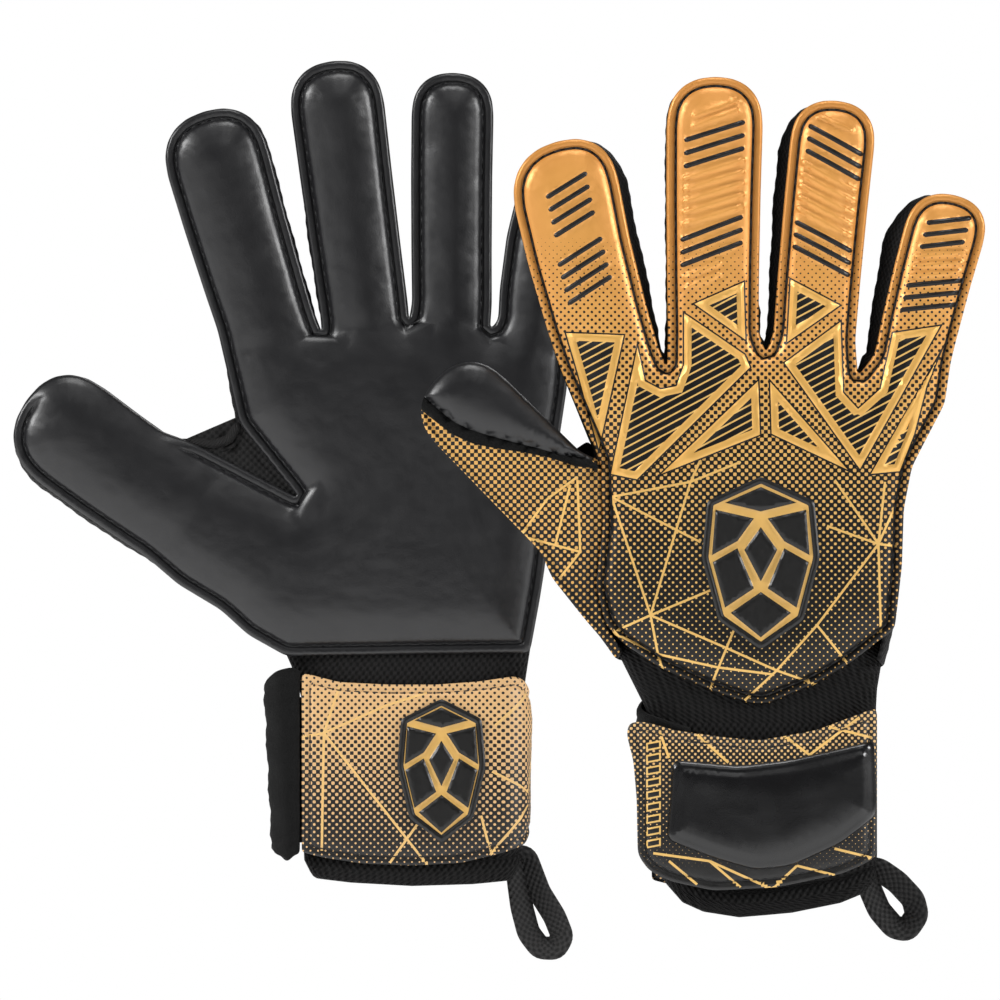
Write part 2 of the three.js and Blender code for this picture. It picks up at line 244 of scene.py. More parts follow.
def evenly_by_side(outline: np.ndarray, step: float) -> np.ndarray:
    """A closed outline with extra points along its sides and all its corners kept."""
    points = []
    for a, b in zip(outline, np.roll(outline, -1, axis=0)):
        count = max(int(round(math.hypot(*(b - a)) / step)), 1)
        points += [a + (b - a) * k / count for k in range(count)]
    return np.array(points)


# ---------------------------------------------------------------- digits and hands


@dataclass(frozen=True)
class Digit:
    """One digit of a glove, in the glove's face."""

    name: str
    x: float
    z: float
    lean: float
    length: float
    fold_half: float
    tip_half: float
    bow: float = 0.0
    sway: float = 0.0

    def point(self, across: float, along: float) -> tuple[float, float]:
        """The place across the digit's middle line and along it from the fold."""
        t = math.radians(self.lean)
        share = min(max(along / self.length, 0), 1)
        across = across + self.bow * math.sin(math.pi * share) + self.sway * share**1.5
        return (
            self.x + across * math.cos(t) + along * math.sin(t),
            self.z - across * math.sin(t) + along * math.cos(t),
        )

    def local(self, points: np.ndarray) -> tuple[np.ndarray, np.ndarray]:
        """Points as distances across the digit and along it."""
        t = math.radians(self.lean)
        dx, dz = points[:, 0] - self.x, points[:, 1] - self.z
        return dx * math.cos(t) - dz * math.sin(t), dx * math.sin(t) + dz * math.cos(t)

    def edge(self, first: float = 6.0, last: float | None = None) -> list:
        """The digit's outline from one side of its fold, round the tip, to the other."""
        last = first if last is None else last
        top = self.length - self.tip_half
        grow = (self.tip_half - self.fold_half) / top
        up = [self.point(-(self.fold_half + grow * s), s)
              for s in (first, top * 0.35, top * 0.7) if s >= first]
        tip = [
            self.point(-self.tip_half * math.copysign(abs(math.cos(a)) ** 0.86, math.cos(a)),
                       top + self.tip_half * max(math.sin(a), 0.0) ** 0.86)
            for a in np.linspace(0, math.pi, 11)
        ]
        down = [self.point(self.fold_half + grow * s, s)
                for s in (top * 0.7, top * 0.35, last) if s >= last]
        return up + tip + down

    @property
    def start(self) -> tuple[float, float]:
        """A point on its middle line, one millimetre along from its fold."""
        return self.point(0, 1.0)

    @property
    def end(self) -> tuple[float, float]:
        """A point on its middle line, 17 millimetres along from its fold."""
        return self.point(0, 17.0)


@dataclass(frozen=True)
class DigitSize:
    """A digit's sizes, the same on both gloves."""

    length: float
    fold_half: float
    tip_half: float


DIGIT_SIZES = {
    "thumb": DigitSize(69.0, 18.4, 17.6),
    "index": DigitSize(80.5, 15.8, 17.2),
    "middle": DigitSize(89.3, 14.4, 15.4),
    "ring": DigitSize(83.0, 13.1, 13.5),
    "pinky": DigitSize(62.8, 12.0, 12.9),
}
FINGERS = ("index", "middle", "ring", "pinky")


@dataclass(frozen=True)
class HandShape:
    """The run of a hand's two sides, its crotches, its thumb web and its digits' small bends."""

    heel: tuple
    little_side: tuple
    crotches: tuple
    web_notch: tuple
    web_edge: tuple
    thumb_seam: tuple
    bows: dict
    thumb_change: tuple = (0.0, 0.0)


HAND_SHAPES = {
    Side.LEFT: HandShape(
        heel=((-41.5, 74.0), (-54.0, 81.0), (-63.0, 89.2), (-77.0, 97.6)),
        little_side=((51.0, 162.0), (48.6, 146.0), (43.6, 102.0), (42.0, 92.0), (38.9, 75.2)),
        crotches=((-29.7, 180.4), (-1.0, 184.6), (25.7, 181.6)),
        web_notch=((-73.0, 144.6), (-37.3, 126.1), (-56.9, 150.6)),
        web_edge=((-75.0, 144.6), (-65.5, 143.6), (-60.4, 145.2), (-58.3, 150.4)),
        thumb_seam=((-52.5, 146.0), (-51.0, 128.0), (-53.0, 108.0), (-49.0, 92.0), (-44.0, 82.0)),
        bows={"index": (-0.6, 0.0), "middle": (-0.4, -0.9), "ring": (-0.6, -1.3), "pinky": (-3.0, -1.0),
              "thumb": (-0.8, 0.8)},
        thumb_change=(-2.4, 1.2),
    ),
    Side.RIGHT: HandShape(
        heel=((-47.5, 80.0), (-52.9, 87.6), (-58.4, 94.0), (-68.4, 106.6)),
        little_side=((57.4, 162.5), (51.4, 151.0), (46.9, 142.2), (44.3, 128.7), (43.7, 110.4), (41.4, 90.2),
                     (38.2, 77.5)),
        crotches=((-31.5, 174.0), (0.2, 178.6), (29.6, 171.2)),
        web_notch=((-60.2, 145.8), (-36.0, 128.5), (-55.6, 148.6)),
        web_edge=((-60.6, 145.6), (-57.6, 142.8), (-56.0, 143.4), (-55.4, 148.0)),
        thumb_seam=((-53.0, 144.2), (-52.2, 124.0), (-54.6, 104.0), (-51.5, 92.0), (-46.5, 84.0)),
        bows={"index": (-1.6, 1.2), "middle": (-0.4, 0.3), "ring": (-0.5, -0.3), "pinky": (-0.6, 0.9),
              "thumb": (0.0, 0.0)},
        thumb_change=(0.0, -2.4),
    ),
}


class Hand:
    """Where one glove stands, which way its palm looks, and its digits."""

    def __init__(self, side: Side) -> None:
        """Reads the glove's place and its digits' folds from the frame."""
        self.side = side
        self.name = side.value
        self.shape = HAND_SHAPES[side]
        self.palm = -1 if side is Side.LEFT else 1
        low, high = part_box(f"{self.name}_wrist_cuff")
        self.origin = np.array([(low.x + high.x) / 2, (low.y + high.y) / 2, low.z])
        self.root = f"{self.name}_glove"
        self.digits = {n: self._digit(n) for n in DIGIT_SIZES}

    def _digit(self, name: str) -> Digit:
        """One digit, its fold taken from the joint it bends on."""
        joint = next(j for j in frame["joints"] if j["name"] == f"{self.name}_{name}_curl")
        x, _, z = (np.array(joint["pos_m"]) - self.origin) / MM
        axis = np.array(joint["axis"]) * self.palm
        lean = math.degrees(math.atan2(axis[2], -axis[0]))
        size = DIGIT_SIZES[name]
        longer, wider = self.shape.thumb_change if name == "thumb" else (0.0, 0.0)
        return Digit(name, float(x), float(z), lean, size.length + longer, size.fold_half + min(wider, 0.0),
                     size.tip_half + wider, *self.shape.bows[name])

    def place(self, x: np.ndarray, depth: np.ndarray, z: np.ndarray) -> np.ndarray:
        """Points of the glove as row-frame metres."""
        x, depth, z = np.broadcast_arrays(x, depth, z)
        return self.origin + np.column_stack([x.ravel(), self.palm * depth.ravel(), z.ravel()]) * MM

    def spot(self, point: tuple[float, float], depth: float = 0.0) -> tuple:
        """One point of the glove as row-frame metres."""
        return tuple(self.place(np.array([point[0]]), np.array([depth]), np.array([point[1]]))[0])

    def lift(self, face: Face, fall: Callable | None = None) -> Callable:
        """A lift that sets a flat panel on one face of the hand.

        Args:
            face: the side it looks to.
            fall: how much lower than flat it lies at each point, or None if it lies flat.
        Returns:
            The lift for PanelMesh.body.
        """
        def lift(points: np.ndarray, depth: np.ndarray) -> np.ndarray:
            """Sets the points at their depths."""
            low = fall(points) if fall else 0.0
            return self.place(points[:, 0], face.value * (depth - low), points[:, 1])

        return lift

    def region(self, points: np.ndarray, digits: Sequence[str]) -> np.ndarray:
        """Which digit each point belongs to, or -1 for the hand."""
        result = np.full(len(points), -1)
        best = np.full(len(points), np.inf)
        for k, name in enumerate(digits):
            digit = self.digits[name]
            across, along = digit.local(points)
            score = np.abs(across) / digit.tip_half
            ok = (along > 0) & (score < 1.6) & (score < best)
            result[ok], best[ok] = k, score[ok]
        return result

    def fold_cuts(self, digits: Sequence[str]) -> list:
        """The lines where digit panels meet the hand's."""
        return [[self.digits[n].point(s * (self.digits[n].fold_half + 2.6), 0) for s in (-1, 1)]
                for n in digits]

    def finger_outline(self) -> list:
        """The four fingers' outline, from the index's thumb side to the little finger's outer side."""
        points = self.digits["index"].edge(10.0, 7.0)
        for name, crotch in zip(FINGERS[1:], self.shape.crotches):
            points += [crotch, *self.digits[name].edge(7.0, 10.0 if name == "pinky" else 7.0)]
        return points


# ---------------------------------------------------------------- mesh making


def new_object(name: str, verts: np.ndarray, faces: Sequence, smooth: int) -> bpy.types.Object:
    """A linked object.

    Args:
        name: the piece's name.
        verts: its points, in metres.
        faces: its faces, the smooth ones first.
        smooth: how many faces are smooth.
    Returns:
        The object.
    """
    mesh = bpy.data.meshes.new(name)
    mesh.from_pydata([tuple(map(float, v)) for v in verts], [], faces)
    mesh.update()
    mesh.polygons.foreach_set("use_smooth", np.arange(len(faces)) < smooth)
    obj = bpy.data.objects.new(name, mesh)
    bpy.context.collection.objects.link(obj)
    return obj


def note_flat(obj: bpy.types.Object, flat: np.ndarray) -> None:
    """Writes each point's print coordinates, in millimetres, on the mesh."""
    attribute = obj.data.attributes.new("flat", "FLOAT_VECTOR", "POINT")
    attribute.data.foreach_set("vector", flat.astype(np.float32).ravel())


@dataclass
class Pattern:
    """Printed and moulded shapes on a panel: each fill is a closed outline, a zone and a moulded height."""

    frames: list = field(default_factory=list)
    fills: list = field(default_factory=list)
    lines: list = field(default_factory=list)

    def add_lines(self, lines: Iterable, shift: tuple = (0.0, 0.0), width: float = 0.75) -> None:
        """Adds straight gold lines, moved by shift."""
        self.lines += [bar(np.array(ends) + shift, width, 1) for ends in lines]

    def add_bars(self, digit: Digit, group: tuple, width: float, zone: Zone, rise: float) -> None:
        """Adds a row of bars across a digit.

        Args:
            digit: where they are.
            group: the first bar's two ends (across, along), how many bars, and the way down to the next.
            width: a bar's width.
            zone: what is printed on them.
            rise: how far they stand up.
        """
        (a0, s0), (a1, s1), count, pitch = group
        for k in range(count):
            ends = [digit.point(a0, s0 - pitch * k), digit.point(a1, s1 - pitch * k)]
            self.fills.append((bar(ends, width), zone, rise))


FRAME_BLACK, FRAME_RIDGE, FRAME_GOLD = 0.5, 1.65, 2.85
FILL_BEVEL, LEAST_BEVELLED = 0.5, 0.3
RIM_ROOM = 0.35


class PanelMesh:
    """A panel's flat triangulation, with its print and its distances from the edge."""

    def __init__(self, outline: np.ndarray, rings: Sequence[float], spacing: float,
                 cuts: Iterable = (), pattern: Pattern | None = None) -> None:
        """Triangulates the outline.

        Args:
            outline: the closed edge, evenly spaced.
            rings: distances in from the edge that get their own points.
            spacing: the inner points' spacing.
            cuts: open polylines that triangles must follow.
            pattern: shapes whose edges triangles must follow.
        """
        self.outline = outline = anticlockwise(outline)
        self.pattern = pattern or Pattern()
        self.coords, self.edges = [], []
        self._chain(outline)
        normal = edge_normals(outline)
        for ring in rings:
            moved = outline - normal * ring
            self._chain(moved, ok=(away(moved, outline) > ring * 0.985) & inside(moved, outline))
        for shape in self._shapes(spacing):
            self._chain(shape, ok=inside(shape, outline) & (away(shape, outline) > RIM_ROOM))
        for cut in cuts:
            self._chain(evenly(cut, spacing, False), closed=False)
        self._grid(spacing, max(rings))
        self._triangulate()
        self.middles = self.points[self.triangles].mean(1)
        self.edge = away(self.points, outline)
        self.flat = np.column_stack([self.points, self.edge])
        self.zones = self._print()

    def _chain(self, points: np.ndarray, closed: bool = True, ok: np.ndarray | None = None) -> None:
        """Adds a polyline's points and the edges between those that are ok."""
        ok = np.ones(len(points), bool) if ok is None else ok
        number = np.cumsum(ok) - 1 + len(self.coords)
        self.coords.extend(points[ok].tolist())
        for i in range(len(points) if closed else len(points) - 1):
            j = (i + 1) % len(points)
            if ok[i] and ok[j]:
                self.edges.append((int(number[i]), int(number[j])))

    def _shapes(self, spacing: float) -> list:
        """The pattern's outlines that triangles must follow."""
        shapes = []
        for poly in self.pattern.frames:
            for inset in (0.0, FRAME_BLACK, FRAME_RIDGE, FRAME_GOLD):
                shapes.append(evenly_by_side(shrunk(anticlockwise(poly), inset), spacing))
        fills = self.pattern.fills
        shapes += [evenly_by_side(p, spacing) for p, _, _ in fills]
        shapes += [evenly_by_side(shrunk(p, FILL_BEVEL), spacing) for p, _, rise in fills
                   if rise > LEAST_BEVELLED]
        return shapes + [evenly_by_side(p, spacing * 2) for p in self.pattern.lines]

    def _grid(self, spacing: float, deepest: float) -> None:
        """Adds staggered rows of points inside the deepest ring, clear of the points there are."""
        low, high = self.outline.min(0), self.outline.max(0)
        grid = np.array([
            (x + (spacing / 2 if k % 2 else 0), z)
            for k, z in enumerate(np.arange(low[1], high[1], spacing * 0.87))
            for x in np.arange(low[0], high[0], spacing)
        ])
        grid = grid[inside(grid, self.outline)]
        grid = grid[away(grid, self.outline) > deepest + spacing * 0.55]
        fixed = np.array(self.coords)
        for k in range(0, len(grid), 1500):
            part = grid[k : k + 1500]
            near = np.sqrt(((part[:, None] - fixed[None]) ** 2).sum(2)).min(1)
            self.coords.extend(part[near > spacing * 0.5].tolist())

    def _triangulate(self) -> None:
        """Makes the triangles, all anticlockwise and inside the outline."""
        result = geometry.delaunay_2d_cdt([Vector(c) for c in self.coords], self.edges, [], 0, 1e-4, False)
        pts = np.array([tuple(v) for v in result[0]])
        tris = np.array([f for f in result[2] if len(f) == 3])
        a, b, c = (pts[tris[:, k]] for k in range(3))
        twice = (b[:, 0] - a[:, 0]) * (c[:, 1] - a[:, 1]) - (b[:, 1] - a[:, 1]) * (c[:, 0] - a[:, 0])
        tris = np.where((twice < 0)[:, None], tris[:, ::-1], tris)
        self.points = pts
        self.triangles = tris[inside((a + b + c) / 3, self.outline) & (np.abs(twice) > 1e-7)]

    def _print(self) -> np.ndarray:
        """What is printed on each triangle."""
        zones = np.full(len(self.triangles), float(Zone.GROUND.value))
        for line in self.pattern.lines:
            zones[inside(self.middles, line)] = Zone.GOLD.value
        for poly in self.pattern.frames:
            within = np.flatnonzero(inside(self.middles, poly))
            deep = away(self.middles[within], poly)
            zones[within] = np.where(
                deep < FRAME_BLACK, Zone.OUTLINE.value,
                np.where(deep < FRAME_GOLD, Zone.FRAME.value, Zone.HATCH.value))
        for poly, zone, _ in self.pattern.fills:
            zones[inside(self.middles, poly)] = zone.value
        return zones

    def relief(self) -> np.ndarray:
        """The moulded height that the pattern adds at each point."""
        height = np.zeros(len(self.points))
        for poly in self.pattern.frames:
            within = np.flatnonzero(inside(self.points, poly))
            deep = away(self.points[within], poly)
            height[within] += (0.75 * bell(deep, FRAME_RIDGE, 0.8)
                               - 0.35 * bell(deep, 0.0, 0.5) - 0.25 * step_up(deep, 2.0, 2.8))
        for poly, _, rise in self.pattern.fills:
            within = np.flatnonzero(inside(self.points, poly))
            height[within] += rise * step_up(away(self.points[within], poly), 0.05, FILL_BEVEL)
        return height

    def body(self, name: str, lift: Callable, outer: np.ndarray, inner: np.ndarray | float,
             keep: np.ndarray | None = None) -> bpy.types.Object:
        """Makes a closed thin body of the panel, with the print on its outer face.

        Args:
            name: the piece's name.
            lift: turns (points, depths) into metres in the row frame.
            outer: depth of the outer face at each point.
            inner: depth of the inner face.
            keep: which triangles to use, or all.
        Returns:
            The object, in place.
        """
        top = lift(self.points, outer)
        bottom = lift(self.points, np.broadcast_to(inner, len(self.points)))
        a, b, c = (top[self.triangles[:, k]] for k in range(3))
        normals = np.cross(b - a, c - a)
        sense = 1.0 if np.sum(normals * (top - bottom)[self.triangles[:, 0]]) > 0 else -1.0
        smooth = np.zeros_like(top)
        for k in range(3):
            np.add.at(smooth, self.triangles[:, k], normals * sense)
        keep = np.ones(len(self.triangles), bool) if keep is None else keep
        used, index = np.unique(self.triangles[keep], return_inverse=True)
        tris = index.reshape(-1, 3)
        if sense < 0:
            tris = tris[:, ::-1]
        smooth = unit(smooth)[used]
        n = len(used)
        edges = np.vstack([tris[:, [0, 1]], tris[:, [1, 2]], tris[:, [2, 0]]])
        key = {(int(i), int(j)) for i, j in edges}
        rim = np.array([(i, j) for i, j in key if (j, i) not in key])
        verts = np.vstack([top[used], bottom[used]])
        faces = [tuple(map(int, t)) for t in tris]
        faces += [(int(t[2]) + n, int(t[1]) + n, int(t[0]) + n) for t in tris]
        faces += [(int(j), int(i), int(i) + n, int(j) + n) for i, j in rim]
        obj = new_object(name, verts, faces, len(faces))
        loops = np.array([loop.vertex_index for loop in obj.data.loops])
        count = len(tris) * 3
        along, down = verts[rim[:, 1]] - verts[rim[:, 0]], verts[rim[:, 0] + n] - verts[rim[:, 0]]
        sides = unit(np.cross(down, along))
        obj.data.normals_split_custom_set(np.vstack([
            smooth[loops[:count]], -smooth[loops[count : 2 * count] - n], np.repeat(sides, 4, axis=0)]))
        zones = np.zeros(len(faces), np.float32)
        zones[: len(tris)] = self.zones[keep]
        obj.data.attributes.new("zone", "FLOAT", "FACE").data.foreach_set("value", zones)
        note_flat(obj, np.vstack([self.flat[used]] * 2))
        return obj


def tube(name: str, rings: Sequence[np.ndarray], flat: Sequence[np.ndarray],
         closed: bool = False) -> bpy.types.Object:
    """A smooth body through closed rings of points.

    Args:
        name: the piece's name.
        rings: the rings, each with as many points, in row-frame metres.
        flat: each ring's print coordinates, in millimetres.
        closed: whether the last ring joins the first; if not, flat faces close the ends.
    Returns:
        The object, in place.
    """
    count, rows = len(rings[0]), len(rings)
    verts = np.vstack(rings)
    faces = []
    for r in range(rows if closed else rows - 1):
        a, b = r * count, ((r + 1) % rows) * count
        faces += [(a + k, a + (k + 1) % count, b + (k + 1) % count, b + k) for k in range(count)]
    smooth = len(faces)
    if not closed:
        faces += [tuple(range(count - 1, -1, -1)), tuple((rows - 1) * count + k for k in range(count))]
    obj = new_object(name, verts, faces, smooth)
    middle = Vector(verts.mean(0))
    if sum((p.center - middle).dot(p.normal) * p.area for p in obj.data.polygons) < 0:
        obj.data.flip_normals()
    note_flat(obj, np.vstack(flat))
    return obj


# a stitch's section along its length: place, width and rise, as shares of its length and thickness
STITCH = ((-0.5, 0.35, -0.5), (-0.36, 0.9, 0.0), (0.0, 1.0, 0.25), (0.36, 0.9, 0.0), (0.5, 0.35, -0.5))


def stitch_run(name: str, spots: np.ndarray, ways: np.ndarray, outs: np.ndarray,
               length: float, thick: float, around: int = 6) -> bpy.types.Object:
    """A row of short thread stitches as one piece.

    Args:
        name: the piece's name.
        spots: each stitch's middle, in metres.
        ways: each stitch's direction.
        outs: which way is out of the surface at each.
        length: a stitch's length in millimetres.
        thick: the thread's thickness in millimetres.
        around: how many sides a stitch has.
    Returns:
        The object.
    """
    length, thick = length * MM, thick * MM
    verts, faces = [], []
    for spot, way, out in zip(spots, ways, outs):
        side = np.cross(way, out)
        base = len(verts)
        for at, size, rise in STITCH:
            for k in range(around):
                angle = 2 * math.pi * k / around
                offset = side * math.cos(angle) + out * math.sin(angle)
                verts.append(spot + way * at * length + out * rise * thick + offset * size * thick / 2)
        for r in range(len(STITCH) - 1):
            a, b = base + r * around, base + (r + 1) * around
            faces += [(a + k, a + (k + 1) % around, b + (k + 1) % around, b + k) for k in range(around)]
        faces.append(tuple(base + k for k in range(around - 1, -1, -1)))
        faces.append(tuple(base + (len(STITCH) - 1) * around + k for k in range(around)))
    return new_object(name, verts, faces, len(faces))


# ---------------------------------------------------------------- finishes


class Nodes:
    """A small builder of one material's shader nodes."""

    def __init__(self, name: str) -> None:
        """Starts a material with its main shader."""
        self.material = bpy.data.materials.new(name)
        self.material.use_nodes = True
        self.tree = self.material.node_tree
        self.shader = next(n for n in self.tree.nodes if n.type == "BSDF_PRINCIPLED")
        source = self.tree.nodes.new("ShaderNodeAttribute")
        source.attribute_name = "flat"
        self.flat = source.outputs["Vector"]
        split = self.tree.nodes.new("ShaderNodeSeparateXYZ")
        self.tree.links.new(self.flat, split.inputs[0])
        self.x, self.z, self.d = split.outputs

    def plain(self, **values: object) -> None:
        """Sets the main shader's own sockets, with underscores for spaces."""
        for key, value in values.items():
            self.shader.inputs[key.replace("_", " ")].default_value = value

    def math(self, operation: str, *inputs: object) -> bpy.types.NodeSocket:
        """A maths node of sockets and numbers."""
        node = self.tree.nodes.new("ShaderNodeMath")
        node.operation = operation
        for socket, value in zip(node.inputs, inputs):
            if isinstance(value, (int, float)):
                socket.default_value = value
            else:
                self.tree.links.new(value, socket)
        return node.outputs[0]

    def ramp(self, value: bpy.types.NodeSocket, stops: Sequence, low: float = 0.0,
             high: float = 1.0) -> bpy.types.NodeSocket:
        """A colour or grey that follows a value.

        Args:
            value: what it follows.
            stops: pairs of a value and a grey or a colour.
            low: the value at the ramp's start.
            high: the value at its end.
        Returns:
            The ramp's colour.
        """
        node = self.tree.nodes.new("ShaderNodeValToRGB")
        ramp = node.color_ramp
        while len(ramp.elements) < len(stops):
            ramp.elements.new(0.5)
        for element, (at, colour) in zip(ramp.elements, stops):
            element.position = (at - low) / (high - low)
            element.color = (*colour, 1) if isinstance(colour, tuple) else (colour, colour, colour, 1)
        spread = self.tree.nodes.new("ShaderNodeMapRange")
        spread.inputs["From Min"].default_value = low
        spread.inputs["From Max"].default_value = high
        self.tree.links.new(value, spread.inputs["Value"])
        self.tree.links.new(spread.outputs["Result"], node.inputs[0])
        return node.outputs["Color"]

    def noise(self, scale: float, detail: float = 3.0, warp: float = 0.0) -> bpy.types.NodeSocket:
        """Noise over the flat millimetres."""
        node = self.tree.nodes.new("ShaderNodeTexNoise")
        node.inputs["Scale"].default_value = scale
        node.inputs["Detail"].default_value = detail
        node.inputs["Distortion"].default_value = warp
        self.tree.links.new(self.flat, node.inputs["Vector"])
        return node.outputs["Fac"]

    def zone(self, zone: Zone) -> bpy.types.NodeSocket:
        """1 where this zone is printed, else 0."""
        node = self.tree.nodes.new("ShaderNodeAttribute")
        node.attribute_name = "zone"
        return self.math("COMPARE", node.outputs["Fac"], float(zone.value), 0.3)

    def mix(self, factor: bpy.types.NodeSocket, a: object, b: object) -> bpy.types.NodeSocket:
        """Colour a where factor is 0 and b where it is 1."""
        node = self.tree.nodes.new("ShaderNodeMix")
        node.data_type = "RGBA"
        self.tree.links.new(factor, node.inputs["Factor"])
        for socket, value in ((node.inputs[6], a), (node.inputs[7], b)):
            if isinstance(value, tuple):
                socket.default_value = (*value, 1)
            else:
                self.tree.links.new(value, socket)
        return node.outputs[2]

    def dots(self, pitch: float, cover: bpy.types.NodeSocket) -> bpy.types.NodeSocket:
        """A diagonal halftone: 1 on the dark part, cover being the share that is dark."""
        turn = 2 * math.pi / pitch / math.sqrt(2)
        u = self.math("COSINE", self.math("MULTIPLY", self.math("ADD", self.x, self.z), turn))
        v = self.math("COSINE", self.math("MULTIPLY", self.math("SUBTRACT", self.x, self.z), turn))
        wave = self.math("ADD", u, v)
        limit = self.math("MULTIPLY_ADD", cover, -4.0, 2.0)
        return self.math("GREATER_THAN", wave, limit)

    def stripes(self, angle: float, pitch: float, share: float) -> bpy.types.NodeSocket:
        """Parallel lines: 1 on a line.

        Args:
            angle: how far the lines rise from the level, in degrees.
            pitch: millimetres from line to line.
            share: how much of the pitch a line takes.
        Returns:
            The factor.
        """
        t = math.radians(angle)
        across = self.math("MULTIPLY_ADD", self.x, -math.sin(t), self.math("MULTIPLY", self.z, math.cos(t)))
        part = self.math("FRACT", self.math("MULTIPLY", across, 1 / pitch))
        return self.math("LESS_THAN", part, share)

    def weave(self, across: float, along: float) -> bpy.types.NodeSocket:
        """A woven or knitted surface's height."""
        a = self.math("SINE", self.math("MULTIPLY", self.x, 2 * math.pi / across))
        b = self.math("SINE", self.math("MULTIPLY", self.z, 2 * math.pi / along))
        return self.math("MULTIPLY_ADD", self.math("MULTIPLY", a, b), 0.5, 0.5)

    def bump(self, height: bpy.types.NodeSocket, distance: float, strength: float = 1.0) -> None:
        """Adds a height, in millimetres, over any already there."""
        node = self.tree.nodes.new("ShaderNodeBump")
        node.inputs["Distance"].default_value = distance * MM
        node.inputs["Strength"].default_value = strength
        self.tree.links.new(height, node.inputs["Height"])
        normal = self.shader.inputs["Normal"]
        if normal.is_linked:
            self.tree.links.new(normal.links[0].from_socket, node.inputs["Normal"])
        self.tree.links.new(node.outputs["Normal"], normal)

    def rough(self, scale: float, smooth: float, coarse: float, detail: float = 3.0) -> None:
        """Varies the roughness between two values with noise."""
        self.drive(Roughness=self.ramp(self.noise(scale, detail), ((0.3, smooth), (0.7, coarse))))

    def print_zones(self, colour: bpy.types.NodeSocket, inks: dict) -> bpy.types.NodeSocket:
        """Prints zones over a colour.

        Args:
            colour: the ground.
            inks: each zone's colour, in the order of printing.
        Returns:
            The printed colour.
        """
        for zone, ink in inks.items():
            colour = self.mix(self.zone(zone), colour, ink)
        return colour

    def drive(self, **sockets: bpy.types.NodeSocket) -> None:
        """Links sockets to the main shader."""
        for key, socket in sockets.items():
            self.tree.links.new(socket, self.shader.inputs[key.replace("_", " ")])


INK = (0.0045, 0.0042, 0.0040)
GOLD_LINE = (0.80, 0.50, 0.15)
HALFTONE, FINE_HALFTONE = 1.75, 1.45
HAND_SPAN, WRIST_SPAN = (60, 275), (0, 75)


@dataclass(frozen=True)
class Smooth:
    """A plain dark finish: latex, glossy foam or thread."""

    name: str
    colour: tuple
    specular: float
    rough: tuple  # noise scale, smoothest, coarsest, noise detail
    bumps: tuple = ()  # each: noise scale, noise detail, millimetres, strength
    coat: tuple = (0.0, 0.03)  # weight, roughness

    def make(self) -> bpy.types.Material:
        """The material."""
        n = Nodes(self.name)
        n.plain(Base_Color=(*self.colour, 1), Specular_IOR_Level=self.specular,
                Coat_Weight=self.coat[0], Coat_Roughness=self.coat[1])
        n.rough(*self.rough)
        for scale, detail, high, strength in self.bumps:
            n.bump(n.noise(scale, detail), high, strength)
        return n.material


@dataclass(frozen=True)
class PrintedFoam:
    """Moulded foam, orange at the fingertips, with a halftone that darkens towards the wrist and painted shade
    that darkens the ground towards every panel edge.
    """

    name: str = "printed_foam"
    ground: tuple = ((75, (0.80, 0.52, 0.17)), (150, (0.80, 0.46, 0.13)), (205, (0.78, 0.37, 0.085)),
                     (270, (0.78, 0.35, 0.08)))
    cover: tuple = ((70, 0.93), (95, 0.85), (120, 0.70), (150, 0.53), (180, 0.34), (200, 0.15), (216, 0.0))
    # painted shade: how strongly the ground is darkened at each distance in from the panel edge, and the
    # shade's colour
    painted_edge_shade: tuple = ((0, 0.42), (5, 0.26), (10, 0.06), (14, 0.0))
    painted_shade_colour: tuple = (0.44, 0.155, 0.025)
    frame_gold: tuple = (0.78, 0.44, 0.11)
    hatch: tuple = (28, 2.2, 0.24)  # degrees, pitch, share that is gold
    seam: tuple = (2.95, 0.42)  # how far in the black seam lies, and half its width

    def make(self) -> bpy.types.Material:
        """The material."""
        n = Nodes(self.name)
        # painted shade: the ground is mixed towards a dark orange near the panel edge, where the cushions turn
        # away from the light
        ground = n.mix(n.ramp(n.d, self.painted_edge_shade, 0, 15), n.ramp(n.z, self.ground, *HAND_SPAN),
                       self.painted_shade_colour)
        colour = n.mix(n.dots(HALFTONE, n.ramp(n.z, self.cover, *HAND_SPAN)), ground, INK)
        colour = n.print_zones(colour, {
            Zone.GOLD: GOLD_LINE, Zone.HATCH: n.mix(n.stripes(*self.hatch), INK, GOLD_LINE),
            Zone.FRAME: self.frame_gold, Zone.OUTLINE: INK, Zone.BLACK: INK})
        n.drive(Base_Color=n.mix(n.math("COMPARE", n.d, *self.seam), colour, INK))
        n.plain(Specular_IOR_Level=0.5, Metallic=0.3)
        n.rough(0.3, 0.34, 0.46)
        n.bump(n.noise(2.5), 0.05, 0.5)
        n.bump(n.noise(0.10, 2.0), 0.7, 0.4)
        return n.material


@dataclass(frozen=True)
class PrintedTextile:
    """Textile with gold lines and a halftone that darkens towards the bottom."""

    name: str
    ground: tuple
    cover: tuple
    span: tuple = WRIST_SPAN
    gold: tuple = GOLD_LINE
    pitch: float = HALFTONE
    specular: float = 0.5
    rough: tuple = (0.3, 0.4, 0.52)
    weave: tuple = (0.8, 0.07)  # pitch, millimetres
    waves: tuple = ()  # millimetres, strength

    def make(self) -> bpy.types.Material:
        """The material."""
        n = Nodes(self.name)
        colour = n.mix(n.dots(self.pitch, n.ramp(n.z, self.cover, *self.span)), self.ground, INK)
        n.drive(Base_Color=n.print_zones(colour, {Zone.GOLD: self.gold, Zone.BLACK: INK}))
        n.plain(Specular_IOR_Level=self.specular)
        n.rough(*self.rough)
        pitch, high = self.weave
        n.bump(n.weave(pitch, pitch), high, 0.6)
        if self.waves:
            n.bump(n.noise(0.14, 2.0), *self.waves)
        return n.material


